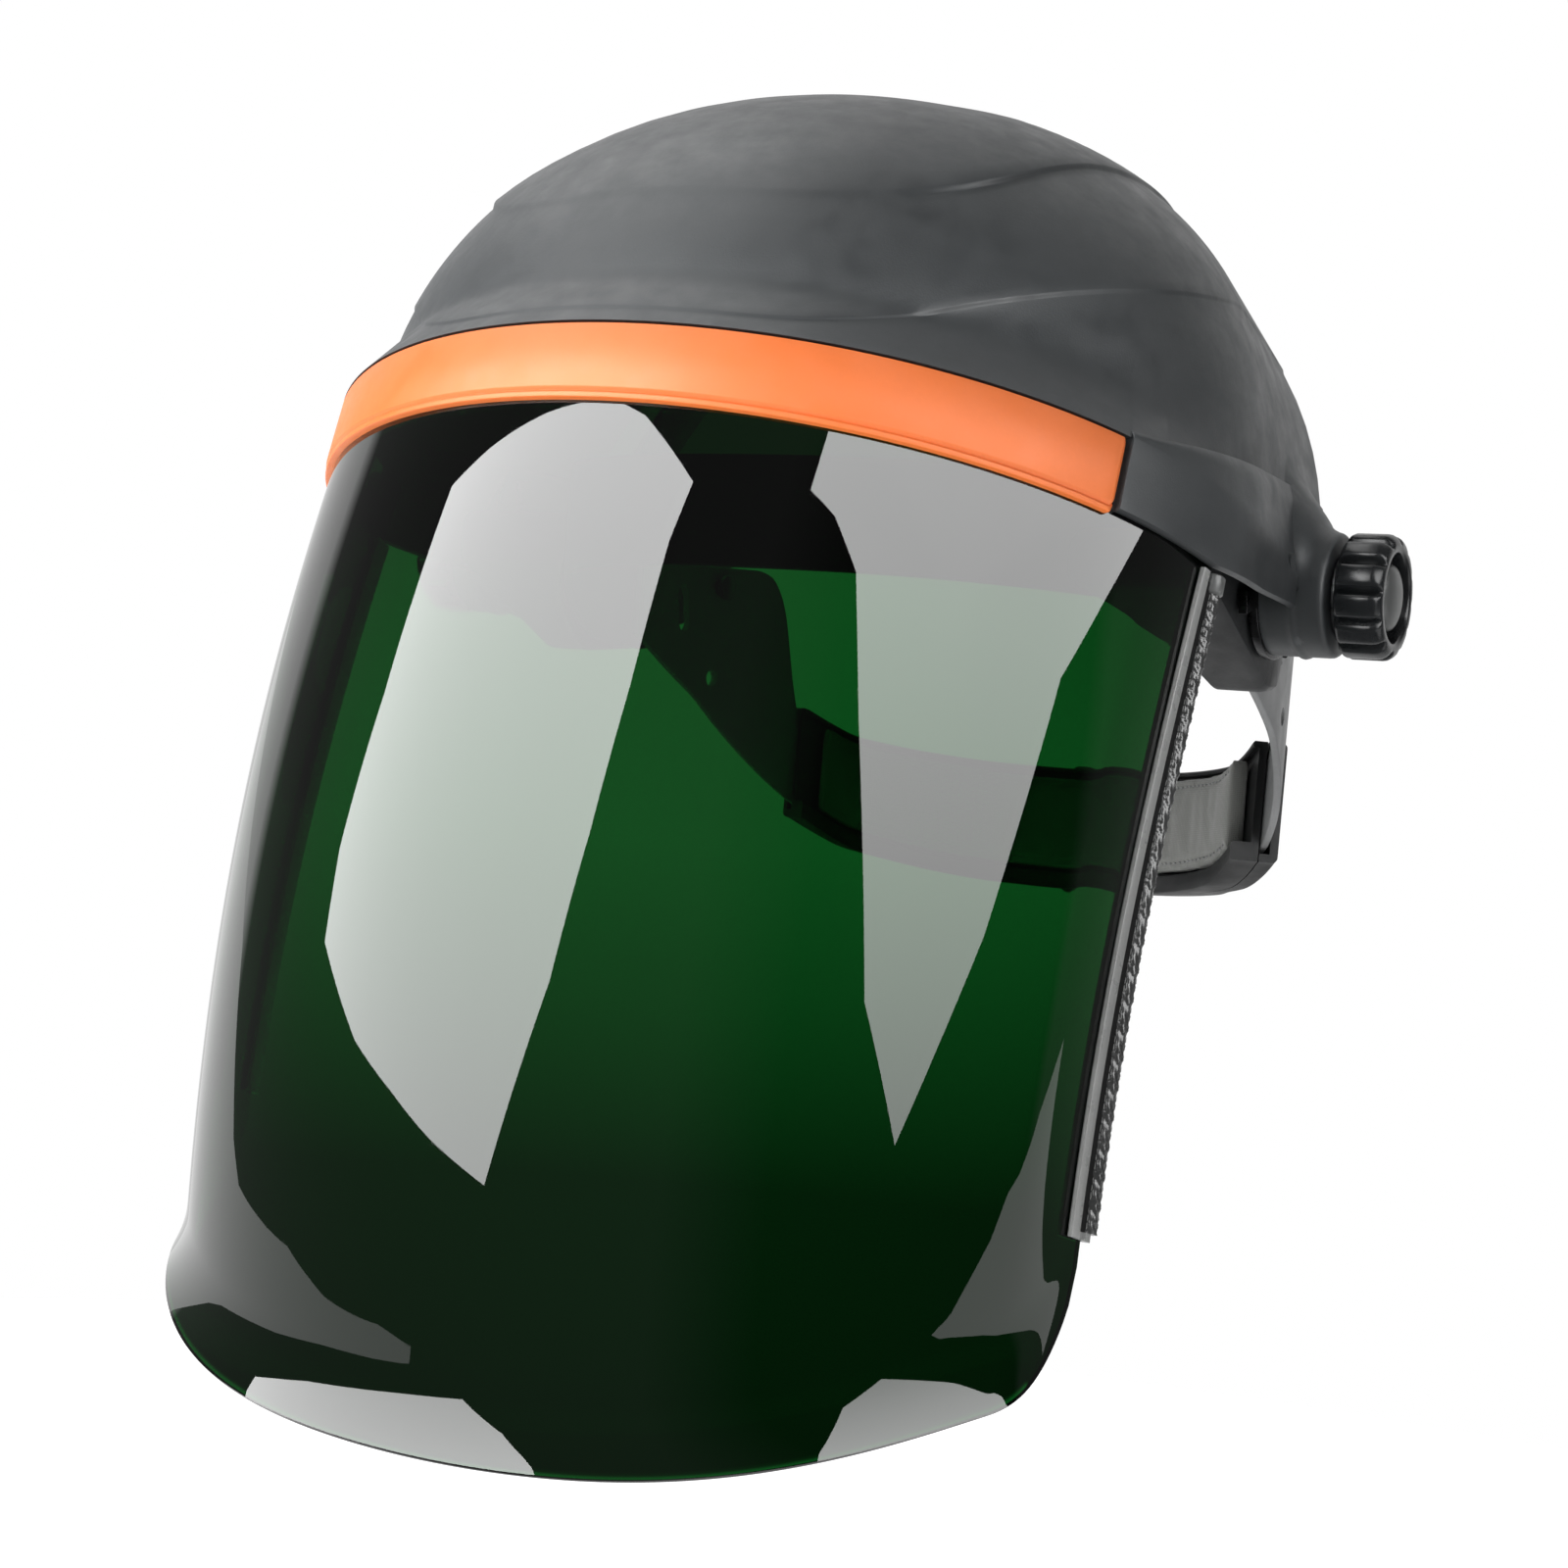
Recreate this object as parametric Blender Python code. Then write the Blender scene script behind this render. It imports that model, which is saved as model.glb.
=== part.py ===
"""Tilting face shield on a ratchet headgear, modelled in millimetres and written out in metres.

Frame: the origin is midway between the two side pivots, on their common axis. +Z is up, the wearer
faces -Y and the wearer's left is +X. The headgear stands level. The shield is drawn in its own level
frame and its parent empty leans it forward about the pivots by SHIELD_LEAN.
"""

from math import acos, asin, atan2, cos, degrees, hypot, pi, radians, sin, sqrt

import bmesh
import bpy

MM = 0.001
SIDES = {"left": 1, "right": -1}
GAP = 0.3  # clearance kept between pieces that touch

# Shield plan: half an ellipse in front, straight walls behind it
SHIELD_LEAN = 16.6  # degrees that the shield stands raised at rest
HALF_WIDTH = 112.0
PLAN_CENTRE_Y = -38.7
PLAN_DEPTH = 100.0
FRONT_Y = PLAN_CENTRE_Y - PLAN_DEPTH
BELLY = 0.00067  # 1/mm, how fast the front swings back below the pivots

# Crown
CROWN_TOP_Z = 108.0
CROWN_REAR_Y = 17.0
CROWN_WALL = 2.2
CROWN_ROWS = 10
CROWN_TUCK = 0.055  # share by which the crown draws in just above the brow
BROW_FRONT_Z = -5.4
BROW_RISE = 0.0265  # the brow line climbs this much per mm towards the back
EAR_RADIUS = 14.0
EDGE_LINE = ((-86, -19), (-58, -18.2), (-33, -13), (-6, -6), (17, -6))  # side wall's edge, (y, z)
SHOULDER_LINE = ((-86, -3), (-68, 3), (-25, 17), (10, 28), (17, 29))  # top of the side panel
SHOULDER_TAPER = 0.0021  # 1/mm, how fast the side panel draws in as it rises

# Brow band, visor and the rim behind them, as depths in from the crown's surface
BAND_HEIGHT = 16.1
BAND_END = 62.0  # degrees of plan angle
BAND_WALL = 2.2
VISOR_DEPTH = 2.6
VISOR_WALL = 2.0
RIM_DEPTH = 5.1
RIM_HEIGHT = 14.5

VISOR_BOTTOM_Z = -223.5
VISOR_BOTTOM_RISE = (23.0, 22.0)  # how far its sides climb, by the 2nd and 4th power of the sine
VISOR_EDGE_ANGLE = 81.5
VISOR_EDGE_NARROWING = 6.5  # degrees lost on each side between the brow and NARROWING_END_Z
NARROWING_END_Z = -120.0
VISOR_CORNER = 22.0
VISOR_LIP = 4.0
VISOR_LIP_HEIGHT = 18.0

STUD_ANGLES = (-54, -28, 0, 28, 54)
STUD_RADIUS = 2.2
STUD_HOLE_RADIUS = 2.6
STUD_HEAD_RADIUS = 4.0

TRIM_TOP_Z = -19.6
TRIM_GRIP = 4.6  # how far the edge trim reaches over the visor
TRIM_WALL = 1.2

# Pivot stack along X
BOLT_RADIUS = 4.0
BOLT_HOLE_RADIUS = 4.3
BOLT_END_X = 126.5
BOSS_INNER_X = 105.8
BOSS_OUTER_X = 118.0
KNOB_INNER_X = 119.8
KNOB_OUTER_X = 130.6
KNOB_RADIUS = 14.0
KNOB_LOBES = 12
BOLT_HEAD_X = (94.5, 97.5)
BOLT_HEAD_RADIUS = 7.5
FRICTION_WASHER_RADIUS = 12.0
FRICTION_WASHER_WALL = 1.6
KNOB_WASHER_RADIUS = 9.5
KNOB_RECESS_RADIUS = 9.6
KNOB_RECESS_DEPTH = 3.2
KNOB_CAP_RADIUS = 7.2
STOP_X = (101.6, 103.6)
HOUSING_FACE_X = 101.3
HOUSING_STAND_OFF = 0.5
STOP_PIN_RADIUS = 1.8
STOP_PIN_ORBIT = 18.5
STOP_PIN_ANGLE = 180.0  # degrees from +Y towards +Z, in the shield's level frame
TILT_DOWN = 15.0
TILT_UP = 45.0
HOUSING_FALL_Y = 14.0  # behind this, the housing's face falls away to let the raised crown pass
HOUSING_FALL = 0.3

# Head ring: a superellipse seen from above
RING_HALF_WIDTH = 89.6
RING_HALF_LENGTH = 100.0
RING_CENTRE_Y = 41.0
RING_POWER = 2.39

# Heights of the ring's pieces as (y, z) outlines
WING_LOW = ((-60, -5.5), (-25, -5.5), (10, -19), (38, -19), (64, -6), (76, -1))
WING_HIGH = ((-60, 20), (0, 24), (30, 22), (54, 9), (76, 9))
ARM_LOW = ((29, -15), (63, -30), (106, -58.5), (124, -66))
ARM_HIGH = ((29, 5), (88, 9), (94, 6), (99, -8), (102.5, -33), (124, -41))
NAPE_LOW = ((104, -61), (119, -69), (141, -75))
NAPE_HIGH = ((104, -29), (119, -36), (141, -40))
NAPE_START_Y = 104.0

# Depths of the ring's pieces, from outside in
HEADBAND_DEPTH = (0.2, 2.4)
ARM_DEPTH = (2.7, 4.7)
BROW_PAD_DEPTH = (2.8, 8.0)
NAPE_FLANGE_DEPTH = 4.9
NAPE_WALL = 2.2
TRAY_DEPTH = (5.2, 7.3, 12.6)  # its outer face, its inner face and its shelf's edge
TRAY_RIM = 5.0

# Holes and pegs in the ring's side walls
SIDE_BORE_X = (70.0, 100.0)
SLOT_Y = 52.0
SLOT_Z = -6.0
SLOT_HALF_WIDTH = 2.6
SLOT_HALF_HEIGHT = 6.5
SLOT_LEAN = 14.0  # degrees
ARM_PEG_Y = 68.0
ARM_PEG_Z = 2.0
ARM_HOLE_Z = -24.0
ARM_HOLE_RADIUS = 2.4
RIVET_HOLES_Y = (-14, 12)
RIVET_HOLES_Z = 8.0
RIVET_HOLE_RADIUS = 1.9

# Ratchet
RATCHET_Z = -57.5
PINION_PITCH = 6.0
PINION_TEETH = 12
RACK_THICKNESS = 2.4
RACK_HALF_HEIGHT = 11.4
RACK_REACH = (-22.0, 34.0)  # along X, from past the pinion to the strap
RATCHET_STEM_RADIUS = 4.2
RATCHET_HOLE_RADIUS = 4.6
CLICK_DISC_RADIUS = 9.0
HOUSING_HALF_WIDTH = 50.0
HOUSING_BULGE = 9.5
RATCHET_KNOB_RADIUS = 19.0
RATCHET_KNOB_LOBES = 10

# Top strap
STRAP_HALF_SPAN = 83.4
STRAP_TOP_Z = 84.0
STRAP_WIDTH = 18.0
STRAP_WALL = 1.8
STRAP_Y = 16.0
STRAP_SWEEP = 12.0  # how far back the strap runs by the top of the head
STRAP_STUD_Z = 17.0
STRAP_STUD_RADIUS = 1.6
STRAP_HOLE_RADIUS = 2.3
STRAP_LIFT = 2.1  # how far the right strap rises where it lies over the left one

# Temple housing: (y, z, corner radius)
HOUSING_CORNERS = ((-35, 9, 5), (-35, -3, 4), (9, -22, 8), (36, -19, 7), (45, -9, 6), (45, 9, 6), (28, 15, 6))
HOUSING_WALL = 2.3

COLOURS = {
    "crown_grey": ((0.045, 0.05, 0.052), 0.55, 0.0),
    "band_orange": ((1.0, 0.33, 0.12), 0.45, 0.0),
    "visor_green": ((0.02, 0.10, 0.04), 0.08, 0.0),
    "trim_grey": ((0.16, 0.17, 0.165), 0.4, 0.0),
    "gear_black": ((0.02, 0.021, 0.022), 0.4, 0.0),
    "strap_grey": ((0.20, 0.205, 0.20), 0.45, 0.0),
    "pad_grey": ((0.24, 0.245, 0.21), 0.9, 0.0),
    "knob_black": ((0.012, 0.013, 0.014), 0.25, 0.0),
    "steel": ((0.6, 0.61, 0.62), 0.3, 1.0),
    "rack_white": ((0.55, 0.56, 0.55), 0.4, 0.0),
}


# ---------------------------------------------------------------- scene helpers

def clear_scene():
    for obj in list(bpy.data.objects):
        bpy.data.objects.remove(obj, do_unlink=True)


def material(name):
    """The named colour as a Principled material, made once."""
    found = bpy.data.materials.get(name)
    if found:
        return found
    colour, roughness, metallic = COLOURS[name]
    made = bpy.data.materials.new(name)
    made.use_nodes = True
    shader = made.node_tree.nodes["Principled BSDF"]
    shader.inputs["Base Color"].default_value = (*colour, 1.0)
    shader.inputs["Roughness"].default_value = roughness
    shader.inputs["Metallic"].default_value = metallic
    made.diffuse_color = (*colour, 1.0)
    return made


def empty(name, lean=0.0):
    made = bpy.data.objects.new(name, None)
    made.rotation_euler = (-radians(lean), 0, 0)
    bpy.context.scene.collection.objects.link(made)
    return made


def add_object(name, bm, finish, parent=None, smooth=False):
    """The bmesh, in millimetres, as an object in metres."""
    bmesh.ops.recalc_face_normals(bm, faces=bm.faces)
    if bm.calc_volume(signed=True) < 0:
        bmesh.ops.reverse_faces(bm, faces=bm.faces)
    bmesh.ops.scale(bm, vec=(MM, MM, MM), verts=bm.verts)
    mesh = bpy.data.meshes.new(name)
    bm.to_mesh(mesh)
    bm.free()
    mesh.polygons.foreach_set("use_smooth", [smooth] * len(mesh.polygons))
    obj = bpy.data.objects.new(name, mesh)
    obj.data.materials.append(material(finish))
    obj.parent = parent
    bpy.context.scene.collection.objects.link(obj)
    return obj


def as_cutter(obj):
    obj.hide_render = True
    obj.display_type = "WIRE"
    return obj


def boolean(obj, tool, operation="DIFFERENCE"):
    modifier = obj.modifiers.new(tool.name, "BOOLEAN")
    modifier.object = as_cutter(tool)
    modifier.operation = operation
    modifier.solver = "EXACT"
    return modifier


def along(pairs, at):
    """Straight-line reading of an outline of (place, value) pairs, held at its ends."""
    if at <= pairs[0][0]:
        return pairs[0][1]
    for (p0, v0), (p1, v1) in zip(pairs, pairs[1:]):
        if at <= p1:
            return v0 + (v1 - v0) * (at - p0) / (p1 - p0)
    return pairs[-1][1]


def ease(share):
    share = min(max(share, 0.0), 1.0)
    return share * share * (3 - 2 * share)


def spread(first, last, count):
    return [first + (last - first) * i / (count - 1) for i in range(count)]


# ---------------------------------------------------------------- mesh helpers

def swept(bm, loops):
    """A solid through closed loops of equal length, capped at both ends."""
    rings = [[bm.verts.new(point) for point in loop] for loop in loops]
    count = len(rings[0])
    for first, second in zip(rings, rings[1:]):
        for i in range(count):
            j = (i + 1) % count
            bm.faces.new((first[i], first[j], second[j], second[i]))
    bm.faces.new(rings[0][::-1])
    bm.faces.new(rings[-1])
    return bm


def sheet_solid(bm, outer, inner):
    """A solid between two grids of points with the same rows and columns."""
    skins = []
    for grid in (outer, inner):
        skins.append([[bm.verts.new(point) for point in row] for row in grid])
    rows, columns = len(outer), len(outer[0])
    for skin in skins:
        for r in range(rows - 1):
            for c in range(columns - 1):
                bm.faces.new((skin[r][c], skin[r][c + 1], skin[r + 1][c + 1], skin[r + 1][c]))
    top, under = skins
    for c in range(columns - 1):
        for r in (0, rows - 1):
            bm.faces.new((top[r][c], top[r][c + 1], under[r][c + 1], under[r][c]))
    for r in range(rows - 1):
        for c in (0, columns - 1):
            bm.faces.new((top[r][c], top[r + 1][c], under[r + 1][c], under[r][c]))
    bmesh.ops.remove_doubles(bm, verts=bm.verts, dist=0.001)
    return bm


def turned(bm, profile, side, centre=(0.0, 0.0), segments=24, axis="X"):
    """A solid of revolution. profile is (radius, place) pairs, the outer wall only, end to end.

    On axis X, places are distances out from the middle on the given side; on Y they are y.
    """
    rings = []
    for radius, place in profile:
        ring = []
        for i in range(segments):
            angle = 2 * pi * i / segments
            u, v = centre[0] + radius * cos(angle), centre[1] + radius * sin(angle)
            ring.append((side * place, u, v) if axis == "X" else (u, place, v))
        rings.append(ring)
    return swept(bm, rings)


def bored(bm, outer, bore_radius, side, segments=24):
    """A ring along X: outer is (radius, x) pairs, and the bore runs through it."""
    loops = []
    xs = [outer[0][1], outer[-1][1]]
    closed = list(outer) + [(bore_radius, xs[1]), (bore_radius, xs[0])]
    for i in range(segments):
        angle = 2 * pi * i / segments
        loops.append([(side * x, r * cos(angle), r * sin(angle)) for r, x in closed])
    return closed_sweep(bm, loops)


def closed_sweep(bm, loops):
    rings = [[bm.verts.new(point) for point in loop] for loop in loops]
    count = len(rings[0])
    for first, second in zip(rings, rings[1:] + rings[:1]):
        for i in range(count):
            j = (i + 1) % count
            bm.faces.new((first[i], first[j], second[j], second[i]))
    return bm


def lobed(radius, depth, lobes, points_per_lobe=4):
    """A grip outline: flat-topped lobes with scooped grooves between them, as (u, v) points."""
    outline = []
    total = lobes * points_per_lobe
    for i in range(total):
        angle = 2 * pi * i / total
        groove = i % points_per_lobe == 0
        reach = radius - (depth if groove else 0.0)
        outline.append((reach * cos(angle), reach * sin(angle)))
    return outline


# ---------------------------------------------------------------- shield surfaces

def brow_z(y):
    return BROW_FRONT_Z + BROW_RISE * (y - FRONT_Y)


def shield_point(angle, depth, z):
    """A point on the shield's upright wall, depth in from its outer surface. angle is in degrees."""
    t = radians(angle)
    x = (HALF_WIDTH - depth) * sin(t)
    y = PLAN_CENTRE_Y - (PLAN_DEPTH - depth) * cos(t)
    return (x, y + BELLY * min(z, 0.0) ** 2, z)


def outward(angle):
    """The outward direction in plan of the shield's wall at this angle."""
    t = radians(angle)
    nx, ny = sin(t) / HALF_WIDTH, -cos(t) / PLAN_DEPTH
    size = hypot(nx, ny)
    return nx / size, ny / size


def crown_stations():
    """(sine side, plan angle, y) of the crown's columns, from the right ear round to the left."""
    rear = spread(CROWN_REAR_Y, PLAN_CENTRE_Y, 10)[:-1]
    step_angles = [BAND_END - 0.4, BAND_END + 0.4]
    quarter = sorted(spread(0, 90, 17)[1:] + step_angles)
    right = [("wall", -1, y) for y in rear]
    front = [("arc", 1, a) for a in [-q for q in reversed(quarter)] + [0.0] + quarter]
    left = [("wall", 1, y) for y in reversed(rear)]
    return right + front + left


def crown_plan(station, depth):
    kind, side, value = station
    if kind == "wall":
        return side * (HALF_WIDTH - depth), value
    x, y, _ = shield_point(value, depth, 0.0)
    return x, y


def side_edge_z(y):
    """The height of the crown's lower edge beside and below the pivot."""
    line = along(EDGE_LINE, y)
    if abs(y) < EAR_RADIUS - 1:
        line = min(line, -sqrt(EAR_RADIUS ** 2 - y ** 2))
    return line


def crown_share(lift):
    """How much of its plan the crown keeps at a lift from 0 at the brow to a quarter turn on top."""
    height = sin(lift)
    return cos(lift) * (1 - CROWN_TUCK * min(height / 0.12, 1.0) * max(1 - height / 0.85, 0.0))


def crown_column(station, inner):
    """One column of the crown's outer or inner skin, from its lower edge to the top."""
    behind_band = station[0] == "arc" and abs(station[2]) < BAND_END
    wall = CROWN_WALL if inner else 0.0
    _, y0 = crown_plan(station, 0.0)
    base_z = brow_z(y0)
    top_z = CROWN_TOP_Z - wall
    if behind_band:
        depth = RIM_DEPTH + wall
        low_z, shelf_z = base_z - RIM_HEIGHT, base_z + wall
        first_lift = 0.0
        start_z = shelf_z
    else:
        depth = wall
        low_z, shelf_z = side_edge_z(y0), along(SHOULDER_LINE, y0)
        first_lift = asin((shelf_z + 0.8 - base_z) / (top_z - base_z))
        start_z = base_z
    points = []
    middle_z = (low_z + shelf_z) / 2 if behind_band else base_z
    for z in (low_z, middle_z, shelf_z):
        x, y = crown_plan(station, depth)
        taper = 1 if behind_band else 1 - SHOULDER_TAPER * max(z - base_z, 0.0)
        points.append((x * taper, y + BELLY * min(z, 0.0) ** 2, z))
    x, y = crown_plan(station, wall)
    for i in range(CROWN_ROWS):
        lift = first_lift + (pi / 2 - first_lift) * i / (CROWN_ROWS - 1)
        share = crown_share(lift)
        z = start_z + (top_z - start_z) * sin(lift)
        points.append((x * share, CROWN_REAR_Y + (y - CROWN_REAR_Y) * share, z))
    return points


def crown_shell(pivot):
    stations = crown_stations()
    outer = [crown_column(station, False) for station in stations]
    inner = [crown_column(station, True) for station in stations]
    bm = sheet_solid(bmesh.new(), outer, inner)
    shell = add_object("crown_shell", bm, "crown_grey", pivot, smooth=True)
    for side_name, side in SIDES.items():
        boss = turned(bmesh.new(), ((EAR_RADIUS, BOSS_INNER_X), (EAR_RADIUS, BOSS_OUTER_X - 1),
                                    (EAR_RADIUS - 1, BOSS_OUTER_X)), side, segments=32)
        boolean(shell, add_object(f"tool_boss_{side_name}", boss, "crown_grey", pivot), "UNION")
        angle = radians(STOP_PIN_ANGLE)
        place = (STOP_PIN_ORBIT * cos(angle), STOP_PIN_ORBIT * sin(angle))
        pin = turned(bmesh.new(), ((STOP_PIN_RADIUS, STOP_X[0] + GAP), (STOP_PIN_RADIUS, 112.0)),
                     side, place, segments=10)
        boolean(shell, add_object(f"tool_stop_pin_{side_name}", pin, "crown_grey", pivot), "UNION")
        hole = turned(bmesh.new(), ((BOLT_HOLE_RADIUS, 100), (BOLT_HOLE_RADIUS, 125)), side)
        boolean(shell, add_object(f"tool_pivot_hole_{side_name}", hole, "crown_grey", pivot))
    boolean(shell, stud_holes("tool_rim_holes", pivot, RIM_DEPTH - 1.0, RIM_DEPTH + CROWN_WALL + 1))
    for side_name, side in SIDES.items():
        boolean(shell, visor_slot(f"tool_visor_slot_{side_name}", side, pivot))
    return shell


def visor_slot(name, side, pivot):
    """Opens the way for the visor from behind the band's end to inside the crown's side wall."""
    near, far = CROWN_WALL + 0.04, RIM_DEPTH - 0.04
    loops = []
    for angle in spread(BAND_END - 3, BAND_END + 4, 5):
        top_z = brow_z(shield_point(angle, 0, 0)[1]) - 0.1
        loops.append([shield_point(side * angle, near, top_z), shield_point(side * angle, near, -40),
                      shield_point(side * angle, far, -40), shield_point(side * angle, far, top_z)])
    return add_object(name, swept(bmesh.new(), loops), "crown_grey", pivot)


def stud_place(angle, depth):
    z = brow_z(shield_point(angle, 0, 0)[1]) - 0.5 * BAND_HEIGHT
    x, y, _ = shield_point(angle, 0.0, z)
    nx, ny = outward(angle)
    return x - nx * depth, y - ny * depth, z


def stud_rings(angle, profile, segments=12):
    """Rings of points round a stud's axis. profile is (radius, depth) pairs."""
    nx, ny = outward(angle)
    rings = []
    for radius, depth in profile:
        cx, cy, cz = stud_place(angle, depth)
        ring = []
        for i in range(segments):
            a = 2 * pi * i / segments
            across, up = radius * cos(a), radius * sin(a)
            ring.append((cx - ny * across, cy + nx * across, cz + up))
        rings.append(ring)
    return rings


def stud_holes(name, pivot, near, far):
    bm = bmesh.new()
    for angle in STUD_ANGLES:
        swept(bm, stud_rings(angle, ((STUD_HOLE_RADIUS, near), (STUD_HOLE_RADIUS, far))))
    return add_object(name, bm, "steel", pivot)


def visor_studs(pivot):
    """Snap rivets that pin the visor to the crown's rim, hidden under the brow band."""
    head = RIM_DEPTH + CROWN_WALL + 0.5
    for number, angle in enumerate(STUD_ANGLES, 1):
        profile = ((STUD_RADIUS, BAND_WALL + 0.5), (STUD_RADIUS, head), (STUD_HEAD_RADIUS, head),
                   (STUD_HEAD_RADIUS - 0.8, head + 1.6))
        bm = swept(bmesh.new(), stud_rings(angle, profile))
        add_object(f"visor_stud_{number}", bm, "gear_black", pivot)


def brow_band(pivot):
    loops = []
    for angle in spread(-BAND_END + 0.8, BAND_END - 0.8, 33):
        top_z = brow_z(shield_point(angle, 0, 0)[1]) - 0.4
        low_z = top_z - BAND_HEIGHT
        loops.append([shield_point(angle, 0.0, top_z), shield_point(angle, 0.0, low_z + 1.0),
                      shield_point(angle, 0.8, low_z), shield_point(angle, BAND_WALL, low_z),
                      shield_point(angle, BAND_WALL, top_z)])
    add_object("brow_band", swept(bmesh.new(), loops), "band_orange", pivot, smooth=True)


# ---------------------------------------------------------------- visor

def visor_edge_angle(z):
    return VISOR_EDGE_ANGLE - VISOR_EDGE_NARROWING * min(max(z, NARROWING_END_Z), 0) / NARROWING_END_Z


def visor_bottom(angle):
    """The visor's lower edge: it climbs towards the sides, and its corners are rounded."""
    across = sin(radians(angle))
    z = VISOR_BOTTOM_Z + VISOR_BOTTOM_RISE[0] * across ** 2 + VISOR_BOTTOM_RISE[1] * across ** 4
    from_edge = radians(visor_edge_angle(z) - abs(angle)) * PLAN_DEPTH
    if from_edge < VISOR_CORNER:
        inside = VISOR_CORNER - max(from_edge, 0.0)
        z += VISOR_CORNER - sqrt(VISOR_CORNER ** 2 - inside ** 2)
    return z


def visor_point(share, down, depth):
    """share runs from -1 to 1 across the visor and down from 0 to 1 from its top to its bottom."""
    angle = share * VISOR_EDGE_ANGLE
    top_z = brow_z(shield_point(angle, 0, 0)[1]) - 0.4
    for _ in range(4):
        low_z = visor_bottom(angle)
        z = top_z + (low_z - top_z) * down
        angle = share * visor_edge_angle(z)
    lip = VISOR_LIP * ease((low_z + VISOR_LIP_HEIGHT - z) / VISOR_LIP_HEIGHT)
    lip *= ease((1 - abs(share)) / 0.15)
    return shield_point(angle, depth - lip, z)


def visor(pivot):
    shares = [-s for s in (1, 0.985, 0.955, 0.91, 0.85, 0.78, 0.71, 0.64, 0.57, 0.5, 0.43, 0.36, 0.29, 0.22,
                           0.15, 0.08)]
    shares = shares + [0.0] + [-s for s in reversed(shares)]
    downs = (0, 0.08, 0.18, 0.3, 0.42, 0.54, 0.66, 0.77, 0.86, 0.93, 0.965, 1)
    outer = [[visor_point(s, d, VISOR_DEPTH) for d in downs] for s in shares]
    inner = [[visor_point(s, d, VISOR_DEPTH + VISOR_WALL) for d in downs] for s in shares]
    sheet = add_object("visor", sheet_solid(bmesh.new(), outer, inner), "visor_green", pivot, True)
    boolean(sheet, stud_holes("tool_visor_holes", pivot, VISOR_DEPTH - 1, RIM_DEPTH - 0.1))


def edge_trims(pivot):
    """U-shaped strips gripping the visor's two side edges."""
    half = VISOR_WALL / 2 + GAP
    lowest_z = visor_bottom(VISOR_EDGE_ANGLE) + 2
    for side_name, side in SIDES.items():
        loops = []
        for z in spread(TRIM_TOP_Z, lowest_z, 14):
            angle = side * visor_edge_angle(z)
            x, y, _ = shield_point(angle, VISOR_DEPTH + VISOR_WALL / 2, z)
            nx, ny = outward(angle)
            gx, gy = -ny * side, nx * side
            profile = ((-TRIM_GRIP, half), (GAP, half), (GAP, -half), (-TRIM_GRIP, -half),
                       (-TRIM_GRIP, -half - TRIM_WALL), (GAP + TRIM_WALL, -half - TRIM_WALL),
                       (GAP + TRIM_WALL, half + TRIM_WALL), (-TRIM_GRIP, half + TRIM_WALL))
            loops.append([(x + gx * g + nx * n, y + gy * g + ny * n, z) for g, n in profile])
        add_object(f"visor_edge_trim_{side_name}", swept(bmesh.new(), loops), "trim_grey", pivot)


# ---------------------------------------------------------------- pivots and knobs

def pivot_hardware():
    for name, side in SIDES.items():
        outer = BOSS_INNER_X - GAP
        profile = ((FRICTION_WASHER_RADIUS, outer - FRICTION_WASHER_WALL), (FRICTION_WASHER_RADIUS, outer))
        washer = bored(bmesh.new(), profile, BOLT_HOLE_RADIUS, side)
        add_object(f"friction_washer_{name}", washer, "gear_black")
        profile = ((KNOB_WASHER_RADIUS, BOSS_OUTER_X + GAP), (KNOB_WASHER_RADIUS, KNOB_INNER_X - GAP))
        washer = bored(bmesh.new(), profile, BOLT_HOLE_RADIUS, side)
        add_object(f"knob_washer_{name}", washer, "steel")
        head_start, head_end = BOLT_HEAD_X
        bolt = turned(bmesh.new(), ((BOLT_HEAD_RADIUS, head_start), (BOLT_HEAD_RADIUS, head_end),
                                    (BOLT_RADIUS, head_end), (BOLT_RADIUS, BOLT_END_X - 1),
                                    (BOLT_RADIUS - 1, BOLT_END_X)), side, segments=20)
        add_object(f"pivot_bolt_{name}", bolt, "steel")
        tilt_stop(name, side)
        clamp_knob(name, side)


def tilt_stop(name, side):
    """A fixed plate whose two horns catch the crown's stop pin at the ends of the tilt."""
    pin = STOP_PIN_ANGLE - SHIELD_LEAN
    half_pin = degrees(asin((STOP_PIN_RADIUS + GAP) / STOP_PIN_ORBIT))
    horns = (pin - TILT_UP - half_pin, pin + TILT_DOWN + half_pin)
    reach, hub, horn_width = STOP_PIN_ORBIT + 3.0, STOP_PIN_ORBIT - STOP_PIN_RADIUS - 1.7, 14.0
    outline = []
    steps = 48
    for i in range(steps):
        angle = 360.0 * i / steps
        outline.append((hub, angle))
    for edge, away in ((horns[0], -1), (horns[1], 1)):
        low, high = sorted((edge, edge + away * horn_width))
        outline = [(r, a) for r, a in outline if not low - 4 < a % 360 < high + 4]
        outline += [(hub, low - 0.5), (reach, low), (reach, high), (hub, high + 0.5)]
    outline.sort(key=lambda pair: pair[1])
    points = [(r * cos(radians(a)), r * sin(radians(a))) for r, a in outline]
    loops = [[(side * x, u, v) for u, v in points] for x in STOP_X]
    plate = add_object(f"tilt_stop_{name}", swept(bmesh.new(), loops), "steel")
    hole = turned(bmesh.new(), ((BOLT_HOLE_RADIUS, 100), (BOLT_HOLE_RADIUS, 111)), side)
    boolean(plate, add_object(f"tool_stop_hole_{name}", hole, "steel"))


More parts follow.
